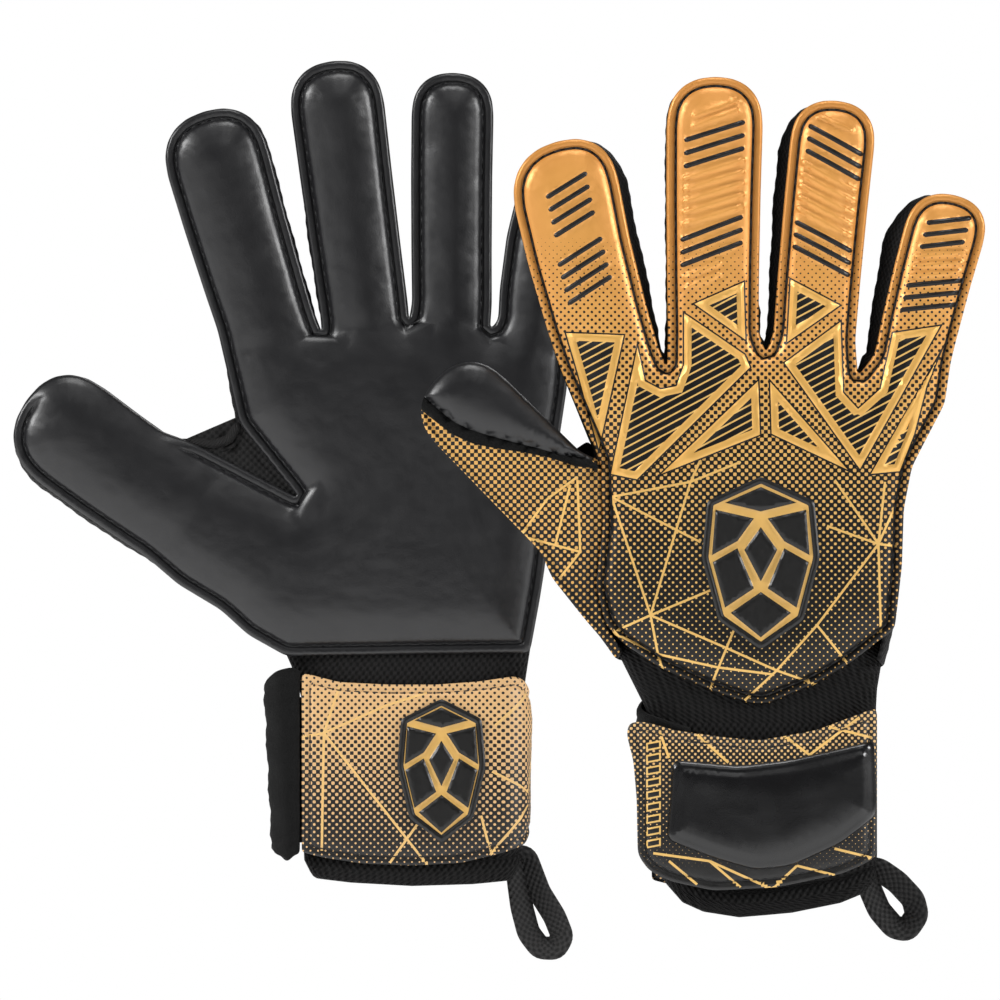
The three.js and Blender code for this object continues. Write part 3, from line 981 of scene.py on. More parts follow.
@dataclass(frozen=True)
class Woven:
    """Black mesh, knit or webbing."""

    name: str
    specular: float
    weave: tuple  # pitch across, pitch along
    hollow_shade_tones: tuple  # the weave's hollows and threads; the hollows' darker tone is painted shade
    rough: tuple
    relief: tuple  # millimetres, strength
    hair: tuple = ()  # noise scale, millimetres, strength

    def make(self) -> bpy.types.Material:
        """The material."""
        n = Nodes(self.name)
        n.plain(Specular_IOR_Level=self.specular)
        weave = n.weave(*self.weave)
        # painted shade: the weave's hollows get the darker tone, its threads the lighter
        n.drive(Base_Color=n.ramp(weave, self.hollow_shade_tones))
        n.rough(*self.rough)
        n.bump(weave, *self.relief)
        if self.hair:
            n.bump(n.noise(self.hair[0]), *self.hair[1:])
        return n.material


@dataclass(frozen=True)
class Pile:
    """A fuzzy black fastener face."""

    name: str
    tone: float
    fuzz: float

    def make(self) -> bpy.types.Material:
        """The material."""
        n = Nodes(self.name)
        n.plain(Specular_IOR_Level=0.12, Sheen_Weight=0.03, Sheen_Roughness=0.5)
        hair = n.noise(self.fuzz, 6.0, 0.6)
        n.drive(Base_Color=n.ramp(hair, ((0.3, (self.tone * 0.35,) * 3), (0.75, (self.tone,) * 3))),
                Roughness=n.ramp(hair, ((0.3, 0.95), (0.7, 0.8))))
        n.bump(hair, 0.5, 0.9)
        return n.material


@dataclass(frozen=True)
class Rubber:
    """Moulded black rubber with gold contours."""

    name: str = "badge_rubber"
    gold: tuple = (0.72, 0.43, 0.12)

    def make(self) -> bpy.types.Material:
        """The material."""
        n = Nodes(self.name)
        n.plain(Specular_IOR_Level=0.5)
        n.drive(Base_Color=n.mix(n.zone(Zone.GOLD), INK, self.gold))
        n.rough(0.5, 0.32, 0.42)
        n.bump(n.noise(2.0), 0.04, 0.5)
        return n.material


class Cloth(Enum):
    """What a piece is made of: its material slot in the record, and its finish."""

    LATEX = ("palm_latex", Smooth("latex", (0.0065, 0.0065, 0.0075), 0.62, (0.12, 0.34, 0.42, 4.0),
                                  ((1.6, 4.0, 0.06, 0.5), (0.06, 2.0, 1.5, 0.45))))
    FOAM = ("backhand_foam", PrintedFoam())
    TEXTILE = ("backhand_foam", PrintedTextile(
        "printed_textile", (0.72, 0.40, 0.11), ((85, 0.80), (130, 0.55), (165, 0.46)), HAND_SPAN,
        specular=0.35, rough=(0.4, 0.55, 0.68), weave=(0.9, 0.08)))
    STRAP = ("strap_textile", PrintedTextile(
        "strap_print", (0.68, 0.42, 0.19),
        ((8, 0.88), (20, 0.71), (35, 0.55), (50, 0.40), (60, 0.28), (70, 0.2)),
        gold=(0.74, 0.47, 0.17), waves=(0.5, 0.4)))
    FLAP = ("strap_textile", PrintedTextile(
        "flap_print", (0.74, 0.46, 0.18),
        ((8, 1.02), (20, 0.97), (32, 0.86), (48, 0.70), (58, 0.62), (70, 0.56)),
        pitch=FINE_HALFTONE, rough=(0.3, 0.36, 0.5), waves=(0.6, 0.5)))
    MESH = ("gusset_mesh", Woven("airmesh", 0.2, (2.6, 2.6), (
        (0.2, (0.002, 0.002, 0.002)), (0.6, (0.011, 0.0105, 0.0105))), (0.8, 0.62, 0.78), (0.5, 0.8),
        (2.0, 0.12, 0.6)))
    KNIT = ("cuff_knit", Woven("cuff_knit", 0.16, (2.3, 3.0), (
        (0.15, (0.002, 0.002, 0.002)), (0.7, (0.012, 0.0115, 0.0115))), (0.9, 0.7, 0.86), (0.7, 0.9),
        (2.4, 0.15, 0.7)))
    WEBBING = ("webbing", Woven("webbing", 0.35, (2.4, 2.4), (
        (0.2, (0.003, 0.003, 0.003)), (0.7, (0.022, 0.021, 0.021))), (0.9, 0.62, 0.78), (0.6, 0.9)))
    PAD = ("strap_pad_gloss", Smooth("gloss_pad", (0.004, 0.004, 0.0045), 0.5, (0.1, 0.20, 0.30),
                                     ((0.05, 1.0, 1.0, 0.5), (1.2, 3.0, 0.03, 0.4)), (0.2, 0.2)))
    HOOK = ("fastener_hook", Pile("hook_face", 0.014, 1.4))
    PILE = ("fastener_pile", Pile("pile_face", 0.010, 2.2))
    THREAD = ("stitching", Smooth("thread", (0.012, 0.012, 0.013), 0.4, (1.0, 0.5, 0.6)))
    BADGE = ("badge_rubber", Rubber())


class Wardrobe:
    """Makes each finish once and gives it to pieces."""

    def __init__(self) -> None:
        """Makes the materials."""
        self.looks = {cloth: cloth.value[1].make() for cloth in Cloth}

    def give(self, obj: bpy.types.Object, cloth: Cloth) -> None:
        """Gives a piece its material."""
        obj.data.materials.append(self.looks[cloth])


# ---------------------------------------------------------------- outlines and patterns, in the glove's face

KNUCKLE_FRAMES = (
    ((-41.1, 182.8), (-50.1, 139.6), (-41.1, 137.7), (-4.5, 174.0), (-6.4, 178.5), (-26.6, 192.3),
     (-26.6, 174.9), (-28.9, 168.5), (-33.5, 167.5), (-38.3, 170.0)),
    ((-64.6, 185.6), (-44.9, 184.8), (-53.4, 146.0), (-56.8, 158.0), (-60.6, 172.0)),
    ((-23.8, 194.5), (-6.6, 202.1), (-6.0, 182.0)),
    ((-2.0, 170.8), (-1.4, 152.2), (-35.6, 138.6)),
    ((0.9, 170.8), (1.4, 152.5), (28.2, 139.8)),
    ((7.6, 203.0), (24.6, 194.0), (6.4, 181.2)),
    ((5.4, 175.6), (24.4, 189.6), (25.2, 166.2), (29.6, 161.4), (36.4, 167.5), (40.4, 185.5), (56.8, 188.0),
     (30.2, 140.6)),
    ((58.0, 183.0), (32.8, 139.4), (43.3, 140.4), (48.0, 152.5), (52.0, 168.0)),
)

NETWORK = (
    ((-49.4, 132.6), (-24.1, 137.4)), ((-49.4, 132.6), (-20.9, 118.1)), ((-49.4, 132.6), (-36.9, 94.7)),
    ((-24.1, 137.4), (-36.9, 94.7)), ((-36.9, 94.7), (-17.7, 102.7)), ((-49.1, 89.2), (-36.9, 94.7)),
    ((-36.9, 94.7), (-12.8, 84.3)), ((-12.8, 84.3), (3.5, 77.0)), ((3.5, 77.0), (16.4, 72.5)),
    ((-36.9, 94.7), (-34.5, 82.2)), ((-34.5, 82.2), (-33.1, 77.4)), ((-49.1, 89.2), (-34.5, 82.2)),
    ((-34.5, 82.2), (-15.4, 78.0)), ((-15.4, 78.0), (1.9, 75.8)), ((-9.6, 91.5), (-18.0, 70.9)),
    ((36.1, 117.5), (16.4, 91.5)), ((16.4, 91.5), (3.5, 77.0)), ((3.5, 77.0), (-6.7, 67.4)),
    ((16.4, 91.5), (26.0, 79.6)), ((36.1, 117.5), (19.6, 123.3)), ((36.1, 117.5), (22.1, 138.0)),
    ((36.1, 117.5), (42.0, 116.8)), ((36.1, 117.5), (36.9, 89.2)), ((36.1, 117.5), (38.2, 137.4)),
    ((36.1, 117.5), (41.7, 130.0)), ((-24.1, 137.4), (-20.9, 144.5)), ((-24.1, 137.4), (-8.0, 143.8)),
)

# each group: the first bar's two ends (across, along the digit), how many bars, and the way down to the next
FINGER_BARS = (
    ("middle", ((-9, 68.9), (9, 74.6), 3, 4.2)), ("middle", ((-9.8, 37.0), (8.8, 44.2), 3, 4.1)),
    ("ring", ((-7.6, 73.9), (9.5, 66.6), 3, 4.0)), ("ring", ((-8.7, 42.8), (9.1, 35.5), 3, 3.9)),
    ("pinky", ((-5.8, 52.1), (6.4, 56.6), 3, 4.0)), ("pinky", ((-6.8, 31.0), (9.4, 36.6), 3, 4.0)),
    ("index", ((-6.0, 64.0), (7.0, 68.0), 4, 4.2)), ("index", ((-7.0, 42.0), (7.5, 46.6), 4, 4.2)),
)

FINGER_RIDGES = (
    ("middle", ((-9.3, 56.6), (9.3, 62.6), 5, 3.7)), ("middle", ((-6.5, 73.4), (7.0, 78.4), 2, -3.4)),
    ("ring", ((-8.8, 62.2), (9.4, 54.4), 5, 3.7)), ("ring", ((-5.6, 77.6), (5.6, 74.0), 1, 3.4)),
    ("pinky", ((-6.6, 40.6), (7.8, 45.4), 3, 3.3)), ("middle", ((-9.0, 24.8), (2.0, 29.6), 2, 3.6)),
)

THUMB_LINES = (
    ((-78.6, 120.1), (-70.0, 131.9)), ((-70.0, 131.9), (-60.3, 139.0)), ((-78.6, 120.1), (-59.4, 115.0)),
    ((-67.4, 117.2), (-62.6, 136.4)), ((-59.4, 115.0), (-60.3, 138.0)), ((-59.4, 115.0), (-66.1, 106.4)),
)

STRAP_LINES = (
    ((-29.0, 48.7), (-8.3, 57.8)), ((-8.3, 57.8), (5.0, 62.0)), ((-29.0, 48.7), (-23.8, 64.4)),
    ((-29.0, 48.7), (-36.3, 47.2)), ((-29.0, 48.7), (-29.7, 9.9)), ((-29.0, 48.7), (5.0, 5.3)),
    ((-7.3, 5.9), (1.7, 18.5)), ((26.4, 36.0), (38.6, 29.0)), ((38.0, 24.8), (25.7, 8.3)),
    ((22.8, 21.5), (26.1, 8.3)), ((38.0, 62.0), (27.4, 51.2)), ((38.6, 29.0), (52.0, 60.0)),
)

FLAP_LINES = (
    ((-31.0, 16.0), (-22.0, 8.5)), ((-36.0, 18.5), (-18.0, 16.0)), ((-18.0, 16.0), (-8.0, 7.5)),
    ((-18.0, 16.0), (2.0, 7.0)), ((2.0, 7.0), (10.0, 14.5)), ((10.0, 14.5), (22.0, 11.5)),
    ((22.0, 20.0), (34.0, 17.0)), ((-34.0, 57.5), (-31.0, 49.0)), ((-22.0, 56.5), (-12.0, 47.5)),
    ((6.0, 56.0), (14.0, 50.0)), ((14.0, 50.0), (30.0, 62.0)), ((20.0, 59.0), (34.0, 55.5)),
)

BADGE_CELLS = (
    ((0.0, -0.86), (0.44, -0.58), (0.0, -0.34), (-0.44, -0.58)),
    ((0.10, -0.30), (0.52, -0.52), (0.70, 0.00), (0.34, 0.16)),
    ((-0.10, -0.30), (-0.52, -0.52), (-0.70, 0.00), (-0.34, 0.16)),
    ((0.0, -0.22), (0.24, 0.14), (0.0, 0.40), (-0.24, 0.14)),
    ((0.34, 0.24), (0.71, 0.08), (0.66, 0.60), (0.10, 0.50)),
    ((-0.34, 0.24), (-0.71, 0.08), (-0.66, 0.60), (-0.10, 0.50)),
    ((0.0, 0.58), (0.52, 0.68), (0.0, 0.86), (-0.52, 0.68)),
)

LOOP_LINES = {
    Side.LEFT: ((34.6, 8.0), (35.0, 0.0), (36.2, -9.0), (38.4, -17.4), (42.2, -22.4), (47.4, -22.6),
                (49.6, -18.6), (47.0, -12.0), (42.0, -4.0), (37.6, 7.6)),
    Side.RIGHT: ((33.2, 13.4), (33.6, 7.0), (36.6, 0.0), (41.4, -5.6), (45.6, -6.4), (48.8, -1.6),
                 (47.6, 3.4), (42.4, 9.0), (36.6, 13.0)),
}
CUFF_BOTTOM = {
    Side.LEFT: ((-36, -33, -20, 0, 20, 33, 36), (3.0, 0.8, -0.7, -1.8, -1.2, 0.0, 2.0)),
    Side.RIGHT: ((-36, -30.5, -26.6, -19.9, -8.3, 8, 24, 34), (13.0, 7.0, 2.6, -0.4, -2.2, -0.8, 2.4, 6.4)),
}
# heights, then the thumb side's and the little finger side's x
CUFF_SIDES = {
    Side.LEFT: (((0, 4, 12, 60, 66, 71, 80, 86), (-32.5, -35.6, -36, -36.5, -38, -40, -44, -48)),
                ((0, 4, 12, 60, 70, 86), (32.5, 35.6, 36, 36.5, 38.0, 40.5))),
    Side.RIGHT: (((0, 4, 12, 60, 66, 71, 80, 86), (-32.5, -35.6, -36, -36.5, -39, -41.5, -46, -49)),
                 ((0, 4, 12, 60, 70, 86), (32.5, 35.6, 36, 35.5, 35.8, 38.5))),
}
BACKHAND_POINT = {
    Side.LEFT: ((36.0, 86.0), (26.0, 79.0), (15.0, 73.0), (0.0, 66.5), (-6.0, 66.6), (-18.0, 70.6),
                (-33.0, 76.5), (-43.5, 83.0)),
    Side.RIGHT: ((36.3, 86.5), (26.6, 79.0), (16.0, 72.5), (0.3, 66.0), (-5.8, 66.4), (-18.0, 70.6),
                 (-33.4, 77.7), (-46.2, 86.0)),
}
# the seam under the latex roll and the fuzzy strip's lower edge (across, along the thumb)
THUMB_SEAMS = (
    ((16.5, 15.5), (12.9, 20.5), (10.5, 23.6), (7.3, 29.5), (3.9, 35.1), (-0.35, 42.4), (-4.3, 49.7),
     (-6.4, 55.9), (-6.9, 61.7), (-7.5, 72.0)),
    ((16.5, 11.0), (11.3, 17.5), (7.1, 25.8), (2.6, 32.6), (-2.4, 39.2), (-6.9, 46.0), (-9.4, 52.6),
     (-10.4, 60.4), (-11.5, 72.0)),
)
THUMB_CAP = ((-8.0, 86.0), (40.0, 86.0), (40.0, 14.0))
# digit, side of it, and how far its wall swells
WALL_BULGES = {
    Side.LEFT: (("index", 1, 2.6), ("thumb", -1, 3.4)),
    Side.RIGHT: (("index", 1, 5.0), ("ring", -1, 5.6), ("pinky", -1, 7.4), ("middle", -1, 2.6)),
}
HAND_WALLS = ("heel_gusset", "thumb_web_gusset", "little_side_gusset")
# the strap's lower and upper edges: x, then z
STRAP_EDGES = (
    ((-36, -30, -16, 0, 16, 30, 40, 52, 66, 80), (9.4, 7.8, 5.6, 5.0, 5.8, 9.2, 12.6, 18.5, 18.0, 14.0)),
    ((-36, -34, -24, -8, 8, 22, 34, 44, 58, 70, 80),
     (68.2, 68.0, 65.4, 64.6, 64.6, 65.6, 67.4, 63.4, 58.0, 53.0, 51.0)),
)
TAB_BOTTOM = ((-36.9, 8.6), (-38.9, 8.6), (-40.5, 7.4), (-43.5, 6.2), (-47.0, 8.0), (-54.0, 9.5), (-66.0, 11.5),
              (-79.0, 13.0))
TAB_TOP = ((-79.0, 58.0), (-66.0, 62.0), (-52.0, 66.0), (-43.0, 69.6), (-39.5, 70.4), (-36.9, 70.0))
FLAP_OUTLINE = ((-38.8, 60.6), (-28.9, 57.8), (-12.5, 55.5), (-1.9, 54.6), (16.0, 57.8), (35.7, 65.2),
                (35.7, 17.6), (32.4, 15.4), (24.4, 11.9), (3.9, 7.6), (-16.7, 6.5), (-30.5, 9.5), (-37.5, 13.0),
                (-41.0, 18.0), (-41.3, 35.6), (-42.4, 48.2), (-44.6, 56.6), (-43.8, 60.4))
PAD_OUTLINE = ((-29.9, 48.5), (-8.3, 46.5), (8.0, 48.5), (34.8, 54.6), (35.4, 30.8), (24.4, 21.8), (8.0, 14.4),
               (-3.5, 13.2), (-16.7, 17.0), (-31.8, 22.8), (-30.6, 36.0))
# shares of the badge's half width and half height
BADGE_OUTLINE = ((0, -1), (0.62, -0.66), (0.86, 0.05), (0.78, 0.70), (0, 0.98), (-0.78, 0.70), (-0.86, 0.05),
                 (-0.62, -0.66))


# ---------------------------------------------------------------- sub-assemblies


@dataclass(frozen=True)
class Quilting:
    """The section of a stitched soft panel, from its edge inwards."""

    base: float = 10.3
    thick: float = 1.9
    groove_at: float = 3.3
    groove_deep: float = 1.1
    crown: float = 3.7
    reach: float = 11.0
    swell: float = 0.0

    def height(self, d: np.ndarray, plain_edge: np.ndarray | float = 0.0) -> np.ndarray:
        """The outer face's height over the base at distances in from the edge.

        Args:
            d: distances in from the edge.
            plain_edge: 1 where the edge is rolled over, with no flange.
        Returns:
            The heights.
        """
        lip = self.thick * (0.45 + 0.55 * rounded(d / 1.2))
        t = (d - self.groove_at) / self.reach
        cushion = self.crown * (0.45 * rounded(t) + 0.55 * np.sin(np.clip(t, 0, 1) * math.pi / 2))
        quilted = lip - self.groove_deep * bell(d, self.groove_at, 0.62) + cushion
        rolled = self.thick * 0.3 + (self.crown + self.thick * 0.7) * rounded(d / (self.reach + self.groove_at))
        return quilted * (1 - plain_edge) + rolled * plain_edge + self.swell * step_up(d, 12, 34)


@dataclass
class SubAssembly:
    """One sub-assembly of a glove: whose hand it is on, and how its pieces are dressed."""

    hand: Hand
    wardrobe: Wardrobe

    @property
    def name(self) -> str:
        """The glove's side, which starts every piece's name."""
        return self.hand.name

    @property
    def left(self) -> bool:
        """Whether this is the left glove."""
        return self.hand.side is Side.LEFT

    def dress(self, obj: bpy.types.Object, cloth: Cloth, where: str = "hand", stands_for: Sequence[str] = (),
              fill: float | None = None) -> None:
        """Dresses a piece and fixes it to its body; a piece on a digit only has its place baked into its mesh.

        Args:
            obj: the piece, in place.
            cloth: what it is made of.
            where: "hand", a digit's name, or a body's own name.
            stands_for: the CAD nodes it replaces, without the side.
            fill: how full a stuffed piece is; not used.
        """
        self.wardrobe.give(obj, cloth)
        if where == "hand":
            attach(obj, self.hand.root)
        elif where in self.hand.digits:
            digit = self.hand.digits[where]
            f"{self.name}_{where}"
            self.hand.spot(digit.start)
            self.hand.spot(digit.end)
            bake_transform(obj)
        else:
            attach(obj, where)
        if stands_for:
            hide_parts(*[f"{self.name}_{n}" for n in stands_for])
        LOG.info("%s: %d faces", obj.name, len(obj.data.polygons))


@dataclass
class QuiltedPanel(SubAssembly):
    """A quilted panel over the hand and its digits, cut at every fold."""

    face: Face
    cloth: Cloth
    digits: tuple
    quilt: Quilting
    rings: tuple
    spacing: float
    fill: float
    piece_word: str
    seam_word: str
    digit_node: str
    hand_node: str
    stitch_pitch: float = 3.1
    stitch_size: tuple = (2.7, 0.85)

    def outline(self) -> np.ndarray:
        """The panel's edge."""
        raise NotImplementedError

    def pattern(self) -> Pattern | None:
        """What is printed and moulded on it."""
        return None

    def section(self, panel: PanelMesh) -> tuple[np.ndarray, np.ndarray | None]:
        """The outer face's height, and 1 where the edge is rolled over with no stitching."""
        raise NotImplementedError

    def build(self) -> None:
        """Builds the panel, one piece for the hand and one for each digit, and its stitches."""
        panel = PanelMesh(self.outline(), self.rings, self.spacing, self.hand.fold_cuts(self.digits),
                          self.pattern())
        height, rolled = self.section(panel)
        where = self.hand.region(panel.middles, self.digits)
        for k, part in enumerate(("hand", *self.digits)):
            obj = panel.body(f"{self.name}_{part}_{self.piece_word}", self.hand.lift(self.face),
                             self.quilt.base + height, self.quilt.base, where == k - 1)
            node = self.hand_node if part == "hand" else f"{part}_{self.digit_node}"
            self.dress(obj, self.cloth, part, [node], self.fill)
        self.sew(panel, height, rolled)

    def groove(self, panel: PanelMesh) -> tuple[np.ndarray, np.ndarray]:
        """The stitches' places and directions along the groove, in the glove's face."""
        line = panel.outline - edge_normals(panel.outline) * (self.quilt.groove_at + 0.2)
        line = line[away(line, panel.outline) > self.quilt.groove_at * 0.97]
        spots, ways, at, previous = [], [], 0.0, line[-1]
        for point in line:
            gap = math.hypot(*(point - previous))
            at = at + gap if gap < 2.0 else 0.0
            if at >= self.stitch_pitch:
                spots.append(point)
                ways.append((point - previous) / gap)
                at = 0.0
            previous = point
        return np.array(spots), np.array(ways)

    def sew(self, panel: PanelMesh, height: np.ndarray, rolled: np.ndarray | None) -> None:
        """Sews a row of stitches along the groove.

        Args:
            panel: the flat panel.
            height: its outer face's height.
            rolled: 1 at points with no stitching near, or None.
        """
        spots, ways = self.groove(panel)
        near = [int(np.argmin(((panel.points - p) ** 2).sum(1))) for p in spots]
        keep = np.ones(len(spots), bool) if rolled is None else rolled[near] < 0.5
        spots, ways, lifts = spots[keep], ways[keep], height[near][keep]
        where = self.hand.region(spots, self.digits)
        world = self.hand.place(spots[:, 0], self.face.value * (self.quilt.base + lifts + 0.1), spots[:, 1])
        ways = np.column_stack([ways[:, 0], np.zeros(len(ways)), ways[:, 1]])
        out = np.array([0.0, self.hand.palm * self.face.value, 0.0])
        for k, part in enumerate(("hand", *self.digits)):
            on = where == k - 1
            if on.any():
                obj = stitch_run(f"{self.name}_{part}_{self.seam_word}_stitches", world[on], ways[on],
                                 np.tile(out, (int(on.sum()), 1)), *self.stitch_size)
                self.dress(obj, Cloth.THREAD, part)


@dataclass
class Palm(QuiltedPanel):
    """The black latex palm, with a stitched flange round every finger and a crease at every fold."""

    face: Face = Face.PALM
    cloth: Cloth = Cloth.LATEX
    digits: tuple = (*FINGERS, "thumb")
    quilt: Quilting = Quilting(crown=4.6, reach=14.0, swell=0.6)
    rings: tuple = (0.45, 1.1, 2.3, 2.8, 3.3, 3.9, 4.7, 6.0, 7.8)
    spacing: float = 2.6
    fill: float = 0.8
    piece_word: str = "palm"
    seam_word: str = "palm"
    digit_node: str = "latex"
    hand_node: str = "palm_latex"
    crease_deep: float = 0.45
    wave_high: float = 0.18

    def outline(self) -> np.ndarray:
        """Hand, fingers and thumb in one piece."""
        shape = self.hand.shape
        return smooth_outline([*shape.heel, *self.hand.digits["thumb"].edge(6.0, 24.0), *shape.web_notch,
                               *self.hand.finger_outline(), *shape.little_side], 1.4)

    def section(self, panel: PanelMesh) -> tuple[np.ndarray, np.ndarray]:
        """The padded height, rolled over along the thumb's inner edge."""
        across, along = self.hand.digits["thumb"].local(panel.points)
        rolled = step_up(across, -2, 6) * step_up(along, 8, 22) * step_up(-np.abs(across), -30, -24)
        height = self.quilt.height(panel.edge, rolled)
        for name in self.digits:
            digit = self.hand.digits[name]
            a, s = digit.local(panel.points)
            near = step_up(-np.abs(a), -digit.fold_half - 3, -digit.fold_half + 3)
            height -= self.crease_deep * near * bell(s, 1.0, 3.2) * step_up(panel.edge, 3.5, 8)
        x, z = panel.points.T
        height += self.wave_high * np.sin(x * 0.11 + 1) * np.sin(z * 0.09) * step_up(panel.edge, 4, 10)
        return height, rolled


@dataclass
class Backhand(QuiltedPanel):
    """The moulded gold foam backhand: hand and four fingers."""

    face: Face = Face.BACK
    cloth: Cloth = Cloth.FOAM
    digits: tuple = FINGERS
    quilt: Quilting = Quilting(crown=3.8, reach=13.0, groove_at=2.8, groove_deep=1.0, swell=0.2)
    rings: tuple = (0.4, 1.0, 1.9, 2.3, 2.8, 3.3, 4.1, 5.4, 7.2)
    spacing: float = 1.6
    fill: float = 0.75
    piece_word: str = "back_foam"
    seam_word: str = "back"
    digit_node: str = "back"
    hand_node: str = "backhand_panel"
    bars: tuple = (1.6, 0.7)  # width, rise
    ridges: tuple = (2.1, 0.75)

    def outline(self) -> np.ndarray:
        """The edge, with its point over the wrist."""
        shape = self.hand.shape
        return smooth_outline([*shape.thumb_seam[::-1][1:], *self.hand.finger_outline(),
                               *shape.little_side[:-1], *BACKHAND_POINT[self.hand.side]], 1.4)

    def pattern(self) -> Pattern:
        """The frames, bars, ridges and lines."""
        shift = (1.0, 5.0) if self.left else (0.0, 0.0)
        pattern = Pattern([np.array(corners) + shift for corners in KNUCKLE_FRAMES])
        pattern.add_lines(NETWORK, shift)
        for groups, (width, rise), zone in ((FINGER_BARS, self.bars, Zone.BLACK),
                                            (FINGER_RIDGES, self.ridges, Zone.GROUND)):
            for name, group in groups:
                pattern.add_bars(self.hand.digits[name], group, width, zone, rise)
        return pattern

    def section(self, panel: PanelMesh) -> tuple[np.ndarray, None]:
        """The padded height with the moulded relief, which fades out before the groove."""
        return self.quilt.height(panel.edge) + panel.relief() * step_up(panel.edge, 3.3, 4.8), None


@dataclass
class ThumbBack(SubAssembly):
    """The thumb's back: the palm latex rolled over, a fuzzy seam strip and printed textile."""

    quilt: Quilting = Quilting(base=10.3, thick=1.2, crown=2.2, reach=12.0, groove_deep=0.5, groove_at=2.6)
    folds: tuple = (16.0, 24.5, 33.0)
    fold_deep: float = 0.9
    pucker_pitch: float = 2.6
    pucker_high: float = 0.45
    roll_high: float = 5.0
    strip: tuple = (2.6, 0.9)  # height at its edges, rise at its middle
    fill: float = 0.6

    def lines(self) -> list:
        """The seam under the latex roll and the strip's lower edge, in the glove's face."""
        digit = self.hand.digits["thumb"]
        wide = digit.tip_half / 15.2
        return [np.array([digit.point(a * wide, s) for a, s in line]) for line in THUMB_SEAMS]

    def height(self, panel: PanelMesh, cap: np.ndarray, band: np.ndarray, upper: np.ndarray,
               lower: np.ndarray) -> np.ndarray:
        """The outer face's height.

        Args:
            panel: the flat panel.
            cap: the outline of the latex roll.
            band: the outline of the strip.
            upper: the seam under the roll.
            lower: the strip's lower edge.
        Returns:
            The height at each point.
        """
        a, s = self.hand.digits["thumb"].local(panel.points)
        to_upper = away(panel.points, upper, False)
        to_lower = away(panel.points, lower, False)
        on_cap, on_band = inside(panel.points, cap), inside(panel.points, band)
        pucker = self.pucker_high * np.exp(-panel.edge / 5.0)
        pucker = pucker * np.sin(2 * math.pi * (s + 0.6 * a) / self.pucker_pitch)
        folds = sum(bell(s + 0.25 * a, at, 1.5) for at in self.folds)
        folds = self.fold_deep * folds * step_up(a, -15, -8) * step_up(panel.edge, 1, 4)
        textile = self.quilt.height(panel.edge) + pucker - folds - 0.8 * np.exp(-to_lower / 1.2)
        roll = 1.0 + self.roll_high * rounded(np.minimum(to_upper, panel.edge) / 9.0)
        edge, rise = self.strip
        strip = edge + rise * np.sin(math.pi * to_upper / np.maximum(to_upper + to_lower, 1e-6))
        return np.where(on_cap, roll, np.where(on_band, strip, textile))

    def build(self) -> None:
        """Builds the roll, the strip and the textile, each cut at the thumb's fold."""
        shape, digit = self.hand.shape, self.hand.digits["thumb"]
        outline = smooth_outline([*shape.heel[1 if self.left else 0:], *digit.edge(6.0, 20.0),
                                  *shape.thumb_seam], 1.2)
        upper, lower = self.lines()
        pattern = Pattern()
        pattern.add_lines(THUMB_LINES, (-15.0, -3.0) if self.left else (0.0, 0.0))
        panel = PanelMesh(outline, (0.5, 1.3, 2.6, 4.0, 6.0), 1.7,
                          [upper, lower, *self.hand.fold_cuts(["thumb"])], pattern)
        band = np.vstack([upper, lower[::-1]])
        cap = anticlockwise(np.vstack([upper, [digit.point(a, s) for a, s in THUMB_CAP]]))
        height = self.height(panel, cap, band, upper, lower)
        in_band = inside(panel.middles, band)
        in_cap = inside(panel.middles, cap) & ~in_band
        where = self.hand.region(panel.middles, ["thumb"])
        for word, chosen, cloth in (("latex_roll", in_cap, Cloth.LATEX), ("seam_strip", in_band, Cloth.PILE),
                                    ("textile", ~in_cap & ~in_band, Cloth.TEXTILE)):
            for k, part in enumerate(("hand", "thumb")):
                keep = chosen & (where == k - 1)
                if keep.sum() < 4:
                    continue
                obj = panel.body(f"{self.name}_{part}_{word}", self.hand.lift(Face.BACK),
                                 self.quilt.base + height, self.quilt.base, keep)
                stands_for = ["thumb_back"] if (part, word) == ("thumb", "textile") else []
                self.dress(obj, cloth, part, stands_for, self.fill)


